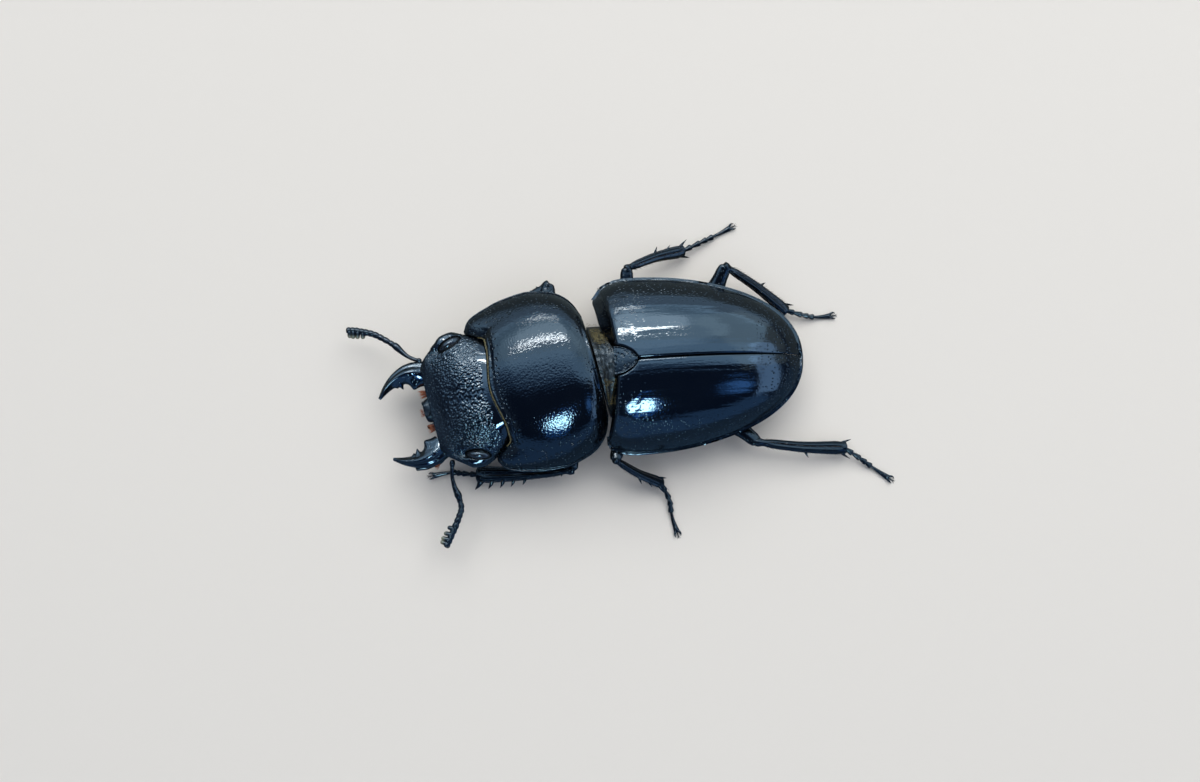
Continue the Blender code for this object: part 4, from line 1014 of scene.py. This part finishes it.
def make_thigh(name, start, end, width, depth):
    """A spindle, cut away above its end where the shin folds in."""
    def knee_notch(share, turn, out_side, out_up):
        return out_side, out_up * (1 - 0.25 * ramp(0.85, 1.0, share))
    bm = bmesh.new()
    tube(bm, [start, start.lerp(end, 0.5), end], lambda s: width / 2 * eased(THIGH_SHAPE, s), (0, 1, 0),
         44, 70, (0.35, 0.8), knee_notch, lambda s: depth / 2 * eased(THIGH_SHAPE, s))
    finish("femur_" + name, "shell", bm, HIND, LEG_SHELL)


def make_shin(name, shin, spines):
    """Low ridges down the shin, a collar at its root, spines, and a saw of small teeth on the fore ones."""
    def shin_ridges(share, turn, out_side, out_up):
        ridge = 0.045 * cos(turn * 6) * ramp(0.08, 0.25, share) * ramp(1.0, 0.9, share)
        collar = 1 + 0.16 * bump(share, 0.03, 0.03) - 0.16 * bump(share, 0.09, 0.04)
        flare = 1 - 0.1 * ramp(0.88, 1.0, share)
        return out_side * collar * flare + ridge, out_up * collar * flare + ridge
    bm = bmesh.new()
    side, along = shin.side, shin.along
    tube(bm, shin.way, lambda s: shin.half_width(s) * 0.96, side, 48, 90, (0.2, 0.5), shin_ridges,
         shin.half_depth)
    for share, out, lean, length, radius in spines:
        edge = 0.72 * shin.half_width(share) * (1 if out > 0 else -1)
        root = on_curve(shin.way, share) + side * edge
        spine(bm, root, root + (side * out + along * lean).normalized() * length, radius, along * -0.06)
    if spines is FORE_TEETH:
        for k in range(5):
            share = 0.12 + 0.075 * k
            root = on_curve(shin.way, share) + side * 0.8 * shin.half_width(share)
            spine(bm, root, root + (side + along * 0.5) * 0.22, 0.1, columns=8, rows=6)
    finish("tibia_" + name, "shell", bm, HIND, LEG_SHELL)


def make_foot(name, toes):
    """Four short cup-like joints and a long last one, with two hooked claws and a bristle between them."""
    bm = bmesh.new()
    points = [Vector(p) for p in toes]
    points[-1] += (points[-1] - points[-2]).normalized() * LAST_JOINT_ADDED
    for low, high in zip(FOOT_CUTS, FOOT_CUTS[1:]):
        last = high == FOOT_CUTS[-1]
        root_radius, end_radius, late = LAST_JOINT if last else SHORT_JOINT
        way = stretch(points, low + 0.01, high - 0.012, (0, 0.33, 0.67, 1))
        tube(bm, way, lambda s: root_radius + (end_radius - root_radius) * s ** late, UP, 24, 20, (0.3, 0.6))
        if last:
            continue
        run, across = heading(way[-2], way[-1])
        for hand in (-1, 1):
            root = way[-1] + across * hand * 0.16 - UP * 0.16
            spine(bm, root, root + run * 0.2 - UP * 0.1 + across * hand * 0.06, 0.06, columns=6, rows=4)
    tip = points[-1]
    along, across = heading(points[-2], tip)
    for hand in (-1, 1):
        base = tip - along * 0.1 + across * hand * 0.1 + UP * 0.1
        bend = base + along * 0.4 + across * hand * 0.2 + UP * 0.12
        point = base + along * 0.7 + across * hand * 0.16 - UP * 0.2
        tube(bm, [base, bend, point], lambda s: 0.14 * (1 - 0.9 * s ** 1.4), across, 14, 20, (0.2, 0.6))
    rod_end = tip + along * 0.5 + UP * 0.02
    tube(bm, [tip, tip.lerp(rod_end, 0.5), rod_end], lambda s: 0.06, across, 8, 6)
    for hand in (-1, 0, 1):
        spine(bm, rod_end, rod_end + along * 0.35 + across * hand * 0.22, 0.03, columns=5, rows=4)
    for vertex in bm.verts:
        vertex.co.z = max(vertex.co.z, 0.0)
    finish("tarsus_" + name, "joints", bm, HIND, LEG_SHELL)


def make_coxa(name, outward, hip, thigh):
    """The root joint: a plump one, or on the hind legs a long flat one with two small rings to the thigh."""
    rings = []
    if name.startswith("hind"):
        mirror = Vector((outward, 1, 1))
        centre, radii, axis = HIND_COXA * mirror, (RING_RADIUS, 0.75, 3.1), Vector((outward, 0.05, 0.12))
        rings = [(HIND_RING_ROOT * mirror).lerp(hip + thigh * 0.5, share) for share in (0.25, 0.75)]
    else:
        centre, radii, axis = hip - thigh * 0.9 + UP * 0.1, (1.0, 1.0, 1.45), Vector((outward, 0, 0.1))
    bm = bmesh.new()
    turn = axis.to_track_quat("Z", "Y").to_matrix().to_4x4()
    bmesh.ops.create_uvsphere(bm, u_segments=44, v_segments=28, radius=1.0,
                              matrix=Matrix.Translation(centre) @ turn @ Matrix.Diagonal((*radii, 1.0)))
    for ring in rings:
        bmesh.ops.create_uvsphere(bm, u_segments=32, v_segments=20, radius=RING_RADIUS,
                                  matrix=Matrix.Translation(ring))
    finish("coxa_" + name, "shell", bm, HIND, LEG_SHELL)


# ---- underside and waist

def lined_ring(across, y, belly, sunk):
    """A point of a body ring that lines the wing cases above and bellies below; across runs 0 to 1."""
    case_y = y * LINING_STRETCH
    side_z = case_margin_z(y) - 0.1
    crown = case_margin_z(y) + case_height(case_y) * LINING_HEIGHT - sunk
    turn = tau * across
    u = power(cos(turn), 0.9)
    if sin(turn) >= 0:
        z = side_z + (crown - side_z) * dome(u)
    else:
        z = side_z - (side_z - belly) * abs(sin(turn)) ** 1.8
    return Vector((case_half_width(case_y) * LINING_WIDTH * u, y, z))


def closed_along(along, caps=0.06):
    """Share along a body and how far its end caps are drawn in."""
    part, f = sections(along, (caps, 1 - caps, 1.0))
    return (0.0, f, 1.0)[part], (f, 1.0, 1 - f)[part]


def make_pterothorax():
    """Mid and hind thorax, with a furrow down the middle of the breast and seams between its plates."""
    def place(across, along):
        share, open_ = closed_along(along)
        y = THORAX_FRONT_Y + (THORAX_REAR_Y - THORAX_FRONT_Y) * share
        p = lined_ring(across, y, eased(THORAX_BELLIES, y), eased(THORAX_SUNK, y))
        if p.z < case_margin_z(y) - 0.4:
            p.z += 0.14 * bump(p.x, 0.0, 0.22) * ramp(3.0, 4.5, y)
            p.z += 0.1 * bump(abs(p.x) - 0.22 * (y - 2.2), 2.9, 0.1)
            p.z += 0.08 * bump(y, 7.75, 0.12) + 0.1 * bump(y, 3.35, 0.1)
        middle = Vector((0.0, y, 5.2))
        return middle + (p - middle) * open_
    finish("pterothorax", "plates", grid(110, 60, place), HIND, BELLY_SHELL)


def make_abdomen():
    """Belly plates, each overlapping the next with a smooth hind edge."""
    step = (ABDOMEN_REAR_Y - ABDOMEN_FRONT_Y) / BELLY_PLATES

    def place(across, along):
        share, open_ = closed_along(along, 0.04)
        y = ABDOMEN_FRONT_Y + (ABDOMEN_REAR_Y - ABDOMEN_FRONT_Y) * share
        within = ((y - ABDOMEN_FRONT_Y) / step) % 1.0
        lift = 0.24 * (1 - ramp(0.0, 0.16, within)) + 0.05 * bump(within, 0.9, 0.08)
        belly = 2.95 + 1.9 * max(0.0, (y - 12.0) / 6.5) ** 2
        p = lined_ring(across, y, belly + (lift if share < 1 else 0.0), 0.0)
        middle = Vector((0.0, y + 0.25 * (1 - open_) * (share > 0.5), 5.0))
        return middle + (p - middle) * open_
    finish("abdomen", "plates", grid(110, 130, place), HIND, BELLY_SHELL)


def waist_ends_y(x):
    """Where the waist begins behind the pronotum and ends in front of the walls of the wing cases."""
    side = 1 if x > 0 else -1
    spread = min(max((abs(x) - 1.5) / 6.2, 0.0), 1.0)
    yaw = radians(FORE_YAW)
    front = WAIST.y + (x - WAIST.x) * sin(yaw) / cos(yaw) + 1.5 * GAP
    return front, case_front_y(spread) - case_wall_lean(side, x) - 1.5 * GAP


def waist_furrow(share):
    """The waist rises towards the scutellum behind a cross furrow."""
    return 0.12 * share - 0.12 * bump(share, 0.4, 0.15)


def make_mesonotum():
    """The waist, a collar that fills the space behind the turned prothorax."""
    profile = [(x, 0, z) for x, z in WAIST_PROFILE]

    def place(across, along):
        share, open_ = closed_along(along, 0.12)
        x, _, z = on_curve(profile, across)
        front, back = waist_ends_y(x)
        deep = ramp(7.4, 6.4, z) if x > 0 else ramp(7.0, 6.0, z)
        back = max(back + (THORAX_FRONT_Y - GAP - back) * deep, front + 0.1)
        y = front + (back - front) * share
        if z > 6:
            z += waist_furrow(share) + 0.1 * noise.noise(Vector((x, y, z)) * 2.4)
        middle = Vector((0.0, y, 6.3))
        return middle + (Vector((x, y, z)) - middle) * (0.35 + 0.65 * open_ if 0 < share < 1 else open_)
    finish("mesonotum", "collar", grid(140, 50, place), HIND, WAIST_SHELL)


def make_prosternum():
    """The underside of the prothorax: a keeled breast between the hips, thin plates out to the sides."""
    lid = PRONOTUM_UNDER_Z - 0.06
    thin = 0.4
    first, last = PROSTERNUM_DEPTHS[0][0], PROSTERNUM_DEPTHS[-1][0]

    def place(across, along):
        share, open_ = closed_along(along)
        y = first + (last - first) * share
        half = eased(PROSTERNUM_HALF_WIDTHS, y)
        part, f = sections(across, (0.78, 1.0))
        if part == 1:
            return Vector((half * (1 - 2 * f) * (0.9 + 0.1 * open_), y, lid))
        u = f * 2 - 1
        keel = (eased(PROSTERNUM_DEPTHS, y) - thin) * (0.5 + 0.5 * cos(min(abs(u) / 0.72, 1.0) * pi))
        keel += 0.22 * bump(u, 0.0, 0.045) * ramp(-9.0, -7.0, y)
        keel -= 0.1 * bump(abs(u), 0.5, 0.03)
        z = lid - thin * (1 - abs(u) ** 8) - keel
        return Vector((half * u, y, lid + (z - lid) * open_))
    finish("prosternum", "plates", grid(150, 60, place), FORE, BELLY_SHELL)


# ---- hairs

FRINGE_HAIRS = 1100
FRINGE_REACH = 0.86             # share of the collar's half width that wears the fringe
WAIST_HAIRS = 900
# Stretches of the waist that wear hairs, as (left and right end, front and back share), then the sparse down
WAIST_TUFTS = [(-3.8, -2.4, 0.1, 1.0), (-3.4, -2.0, 0.15, 0.95), (1.6, 4.0, 0.1, 1.0), (-4.4, 4.2, 0.0, 1.0),
               (-4.4, 4.2, 0.0, 1.0)]
WAIST_TOPS = [(0.0, 9.2), (1.5, 9.05), (3.1, 8.3), (4.5, 7.0), (5.0, 5.6)]
# Tufts of the mouth's brushes, as (root, way, length, hairs)
MOUTH_TUFTS = [((1.75, -17.0, 5.4), (0.1, -1.0, 0.1), 0.75, 110),
               ((-1.75, -17.0, 5.4), (-0.1, -1.0, 0.1), 0.75, 110),
               ((4.9, -17.5, 4.1), (0.75, -0.7, 0.05), 0.8, 90),
               ((-4.7, -17.5, 4.1), (-0.7, -0.75, 0.0), 0.6, 70),
               ((0.0, -17.75, 5.1), (0.0, -1.0, -0.1), 0.3, 60)]
SHIN_ROWS = [(1, 0.35), (-1, 0.35), (0.2, 1.0), (-0.2, -1.0)]       # outwards and upwards
SHIN_ROW_HAIRS = 26
FOOT_HAIRS = 48
PATCH = 0.003                   # side of a hair face's own patch of the map


class Coat:
    """Many separate hairs in one mesh, each a thin bent cone with its own small patch of a map."""

    def __init__(self, seed):
        self.bm = bmesh.new()
        self.uv = self.bm.loops.layers.uv.new("OFBake")
        self.tip = self.bm.verts.layers.float.new("tip")
        self.random = Random(seed)

    def hair(self, root, tip, radius, place, droop=(0, 0, 0)):
        """`place` is the root's own spot on the unwrapped skin, in shares of the map."""
        root, tip, droop = Vector(root), Vector(tip), Vector(droop)
        ring = bmesh.ops.create_circle(self.bm, segments=3, radius=1.0)["verts"]
        axis = (tip - root).normalized()
        spin = Matrix.Rotation(self.random.uniform(0, tau), 4, "Z")
        aim = axis.to_track_quat("Z", "Y").to_matrix().to_4x4() @ spin

        def pose(share):
            centre = root.lerp(tip, share) + droop * share * share
            size = radius * (1 - 0.6 * share)
            return Matrix.Translation(centre) @ aim @ Matrix.Diagonal((size, size, size, 1.0))
        bmesh.ops.transform(self.bm, matrix=pose(0.0), verts=ring)
        edges = list({edge for vertex in ring for edge in vertex.link_edges})
        grown = bmesh.ops.extrude_edge_only(self.bm, edges=edges)["geom"]
        ring = [g for g in grown if isinstance(g, bmesh.types.BMVert)]
        edges = [g for g in grown if isinstance(g, bmesh.types.BMEdge) and all(v in ring for v in g.verts)]
        faces = [g for g in grown if isinstance(g, bmesh.types.BMFace)]
        bmesh.ops.transform(self.bm, matrix=pose(0.5) @ pose(0.0).inverted(), verts=ring)
        for vertex in ring:
            vertex[self.tip] = 0.5
        point = self.bm.verts.new(tip + droop)
        point[self.tip] = 1.0
        faces += [self.bm.faces.new((*edge.verts, point)) for edge in edges]
        for face in faces:
            for loop, corner in zip(face.loops, ((0, 0), (PATCH, 0), (PATCH, PATCH), (0, PATCH))):
                loop[self.uv].uv = (place[0] + corner[0], place[1] + corner[1])

    def finish(self, where, frame_matrix, material, slot):
        bmesh.ops.recalc_face_normals(self.bm, faces=self.bm.faces)
        finish(where, "hairs", self.bm, frame_matrix, material, replaces=False, welded=False)


def make_collar_fringe():
    """A close golden fringe under the front margin of the pronotum, combed forwards over the head."""
    coat = Coat(11)
    jitter = coat.random.uniform
    edge = eased(PRONOTUM_HALF_WIDTHS, -PRONOTUM_LENGTH) - 2 * PRONOTUM_BEAD
    for n in range(FRINGE_HAIRS):
        u = (n / (FRINGE_HAIRS - 1) * 2 - 1) * FRINGE_REACH
        y = pronotum_front_y(u)
        z = PRONOTUM_DOME_Z + eased(PRONOTUM_HEIGHTS, y) * pronotum_dome(u) - 0.2
        root = (u * edge, y + 0.1, z + jitter(-0.08, 0.02))
        tip = (u * edge + jitter(-0.05, 0.05), y - jitter(0.06, 0.17), z + jitter(-0.08, 0.03))
        coat.hair(root, tip, 0.026, (0.02 + 0.95 * n / FRINGE_HAIRS, 0.9))
    coat.finish("collar_fringe", FORE, GOLDEN_HAIR, "waist")


def make_waist_down():
    """Golden hairs on the waist: tufts at its right end, a row under the left wing case and a sparse down."""
    coat = Coat(12)
    jitter = coat.random.uniform
    for n in range(WAIST_HAIRS):
        left, right, near, far = WAIST_TUFTS[n % 5]
        x, share = jitter(left, right), jitter(near, far)
        front, back = waist_ends_y(x)
        y = front + (max(back, front + 0.1) - front) * share
        z = eased(WAIST_TOPS, abs(x)) + waist_furrow(share) - 0.08 - 0.5 * ramp(-2.2, -3.8, x)
        length = 0.2 if n % 5 > 2 else jitter(0.2, 0.5)
        tip = (x + jitter(-0.14, 0.14), y + jitter(0.4, 1.0) * length, z + jitter(0.3, 0.8) * length)
        coat.hair((x, y, z), tip, 0.014, (0.05 + 0.9 * (x + 5) / 10, 0.1 + 0.8 * share))
    coat.finish("waist_down", HIND, GOLDEN_HAIR, "waist")


def make_mouth_brushes():
    """Orange brushes beside the upper lip and along the inner roots of the jaws."""
    coat = Coat(13)
    jitter = coat.random.uniform
    for k, (root, way, length, count) in enumerate(MOUTH_TUFTS):
        for _ in range(count):
            spread = Vector((jitter(-0.3, 0.3), jitter(-0.12, 0.12), jitter(-0.2, 0.2)))
            start = Vector(root) + spread
            end = start + Vector(way).normalized() * length * jitter(0.7, 1.1)
            end += Vector((spread.x, 0, spread.z)) * 0.6
            coat.hair(start, end, 0.018, (0.1 + 0.18 * k + 0.1 * (spread.x + 0.3), 0.3 + spread.z))
    coat.finish("mouth_brush", FORE, ORANGE_HAIR, "jaw")


def make_leg_hairs(name, shin):
    """Four rows of stiff bristles down the shin and a sparse fringe under the foot."""
    coat = Coat(20 + list(LEGS).index(name))
    jitter = coat.random.uniform
    side, up = shin.side, shin.along.cross(shin.side)
    for row, (out, lift) in enumerate(SHIN_ROWS):
        for n in range(SHIN_ROW_HAIRS):
            share = 0.12 + 0.82 * n / (SHIN_ROW_HAIRS - 1) + jitter(-0.012, 0.012)
            thick, deep = shin.half_width(share), shin.half_depth(share)
            aim = (side * out * deep + up * lift * thick).normalized()
            root = on_curve(shin.way, share) + side * thick * 0.9 * aim.dot(side)
            root += up * deep * 0.85 * aim.dot(up)
            tip = root + (aim * 0.7 + shin.along * 0.9).normalized() * jitter(0.26, 0.5)
            coat.hair(root, tip, 0.02, (0.05 + 0.9 * share, 0.1 + 0.2 * row), shin.along * 0.05)
    toes = LEGS[name][3]
    for n in range(FOOT_HAIRS):
        share = 0.1 + 0.85 * n / (FOOT_HAIRS - 1)
        run, across = heading(on_curve(toes, share - 0.03), on_curve(toes, share + 0.03))
        across = across * (1 if n % 2 else -1)
        root = on_curve(toes, share) + across * 0.14 - UP * 0.1
        tip = root + (run + across * 0.5).normalized() * jitter(0.2, 0.34)
        tip.z = max(tip.z, 0.02)
        root.z = max(root.z, 0.03)
        coat.hair(root, tip, 0.014, (0.05 + 0.9 * share, 0.9))
    coat.finish("leg_" + name, HIND, BROWN_HAIR, "leg")


# ---- floor, light and camera

ROOM = {"mirrored": False, "lit": True}     # lights the floor, the hairs and the dull parts
SKY = {}                                    # shows in the gloss of the shell
GLOW = {"shape": "ELLIPSE"}                 # shows there as a window or its halo
# As (name, azimuth from the tail towards its left, elevation, distance, size, radiance, colour, kind)
LAMPS = [
    ("key", -75, 58, 0.6, (0.7, 0.55), 3.2, "#fffaf2", ROOM),
    ("overhead", 60, 75, 0.7, (1.0, 1.0), 0.5, "#f2f4ff", ROOM),
    ("right_sky", -87, 52, 0.6, (1.85, 0.77), 2.3, "#93bfe2", SKY),
    ("right_low_sky", -90, 12, 0.6, (1.7, 0.27), 1.8, "#8fb2d0", SKY),
    ("right_broad_glow", -98, 54, 0.56, (1.0, 0.5), 1.0, "#a9cde6", GLOW),
    ("right_glow", -98, 47, 0.52, (0.46, 0.24), 2.4, "#c4def2", GLOW),
    ("right_window", -100, 57, 0.5, (0.4, 0.032), 34.0, "#f2fbff", GLOW),
    ("right_low_window", -100, 26, 0.5, (0.2, 0.018), 20.0, "#f2fbff", GLOW),
    ("zenith_sky", -90, 80, 0.55, (1.5, 0.2), 0.8, "#78b0ee", SKY),
    ("rear_sky", 10, 22, 0.6, (0.55, 0.2), 3.1, "#86b4e8", {"roll": 24}),
    ("right_rear_sky", -30, 27, 0.62, (0.6, 0.5), 0.9, "#9fb3b4", SKY),
    ("front_sky", 172, 28, 0.6, (0.8, 0.3), 0.45, "#7f9fbc", SKY),
    ("left_window", 92, 50, 0.5, (0.09, 0.13), 36.0, "#b4ecff", GLOW),
    ("left_halo", 92, 48, 0.48, (0.14, 0.26), 3.4, "#2f78e0", GLOW),
    ("left_rear", 30, 38, 0.5, (0.1, 0.15), 3.0, "#4a82cc", GLOW),
    ("left_rear_halo", 31, 39, 0.48, (0.17, 0.2), 1.5, "#3f78c4", GLOW),
    ("left_low", 90, 12, 0.6, (1.6, 0.32), 1.2, "#5a8ecb", SKY),
]
FLOOR_RADIUS = 2.5
FLOOR_COLOUR = "#dddddb"
# Painted reflection: the floor takes these darker colours in glossy rays only, so the shell mirrors dim
# ground; across X they run from the beetle's right to its left, between the ends below
PAINTED_FLOOR_REFLECTION = ("#5d6a6e", "#46688a")     # on the beetle's right and on its left
PAINTED_REFLECTION_ENDS = (-5 * MM, 9 * MM)
CAMERA_TARGET = Vector((1.34, -2.29, 5.6)) * MM
CAMERA_DISTANCE = 180 * MM
CAMERA_VIEW = Vector((-0.12159, 0.00829, -0.99255))
CAMERA_LENS = 54
CAMERA_SENSOR = 36


def make_floor():
    """A pale card whose colour in glossy rays is a painted reflection of dim ground, so the shell's sides
    stay dark.
    """
    bm = bmesh.new()
    bmesh.ops.create_circle(bm, cap_ends=True, segments=96, radius=FLOOR_RADIUS)
    mesh = bpy.data.meshes.new("floor")
    bm.to_mesh(mesh)
    bm.free()
    # Matt card: a soft shadow and no shine; in glossy rays its colour is a painted reflection, not its own
    material, tree, shader = surface("pale_card_with_painted_reflection", {"Roughness": 0.9, "Specular IOR Level": 0.1})
    place = add(tree, "SeparateXYZ", None, {"Vector": add(tree, "TexCoord").outputs["Object"]})
    # painted reflection: glossy rays see the floor in the darker ground colours, bluer towards the beetle's
    # left
    left = remap(tree, place.outputs["X"], PAINTED_REFLECTION_ENDS, (0.0, 1.0))
    card_or_painted_reflection = add(tree, "Mix", {"data_type": "RGBA", 6: hex_colour(FLOOR_COLOUR)},
               {0: add(tree, "LightPath").outputs["Is Glossy Ray"], 7: blend(tree, *PAINTED_FLOOR_REFLECTION, left)})
    tree.links.new(card_or_painted_reflection.outputs[2], shader.inputs["Base Color"])
    mesh.materials.append(material)
    put("floor", mesh)


def soft_light(name, azimuth, elevation, distance, size, radiance, colour, mirrored=True, lit=False,
               shape="RECTANGLE", roll=0):
    """A flat lamp that faces the beetle, unseen by the camera."""
    light = bpy.data.lights.new(name, "AREA")
    light.shape = shape
    light.size, light.size_y = size
    light.energy = radiance * pi * size[0] * size[1] * (pi / 4 if shape == "ELLIPSE" else 1)
    light.color = hex_colour(colour)[:3]
    aim = Vector((sin(radians(azimuth)) * cos(radians(elevation)),
                  cos(radians(azimuth)) * cos(radians(elevation)), sin(radians(elevation))))
    facing = aim.to_track_quat("Z", "Y").to_matrix() @ Matrix.Rotation(radians(roll), 3, "Z")
    lamp = put(name, light)
    lamp.location = aim * distance
    lamp.rotation_euler = facing.to_euler()
    lamp.visible_camera = False
    lamp.visible_glossy = mirrored
    lamp.visible_diffuse = lit


def make_world():
    """A room that is pale to the camera, dim to dull surfaces and deep blue to the gloss."""
    world = bpy.data.worlds.new("studio")
    world.use_nodes = True
    tree = world.node_tree
    tree.nodes.clear()
    path = add(tree, "LightPath")
    seen, felt, mirrored = [
        add(tree, "Background", {"Color": hex_colour(colour), "Strength": strength}).outputs[0]
        for colour, strength in (("#d9dbdc", 0.8), ("#e6ecf5", 0.25), ("#2a4f8c", 0.4))]
    unseen = add(tree, "MixShader", None, {0: path.outputs["Is Glossy Ray"], 1: felt, 2: mirrored})
    mixed = add(tree, "MixShader", None, {0: path.outputs["Is Camera Ray"], 1: unseen.outputs[0], 2: seen})
    add(tree, "OutputWorld", None, {"Surface": mixed.outputs[0]})
    bpy.context.scene.world = world


def make_camera():
    """Looks down on the beetle from a little to its left, its head towards the left of the frame."""
    lens = bpy.data.cameras.new("camera")
    lens.lens = CAMERA_LENS
    lens.sensor_width = CAMERA_SENSOR
    lens.clip_start = 0.01
    camera = put("camera", lens)
    camera.location = CAMERA_TARGET - CAMERA_VIEW * CAMERA_DISTANCE
    camera.rotation_euler = CAMERA_VIEW.to_track_quat("-Z", "Y").to_euler()
    bpy.context.scene.camera = camera


make_camera()
for lamp_name, *lamp_settings, lamp_kind in LAMPS:
    soft_light(lamp_name, *lamp_settings, **lamp_kind)
make_world()
make_floor()
bpy.context.scene.view_settings.view_transform = "Standard"
for side_name, side_sign in (("left", 1), ("right", -1)):
    make_elytron("elytron_" + side_name, side_sign)
    make_eye("eye_" + side_name, side_sign)
    make_mandible(side_name, side_sign)
    make_palps(side_name, side_sign)
    make_antenna(side_name)
for make_part in (make_scutellum, make_pronotum, make_head, make_labrum, make_mentum, make_pterothorax,
                  make_abdomen, make_mesonotum, make_prosternum):
    make_part()
for leg_name in LEGS:
    make_leg(leg_name)
make_collar_fringe()
make_waist_down()
make_mouth_brushes()
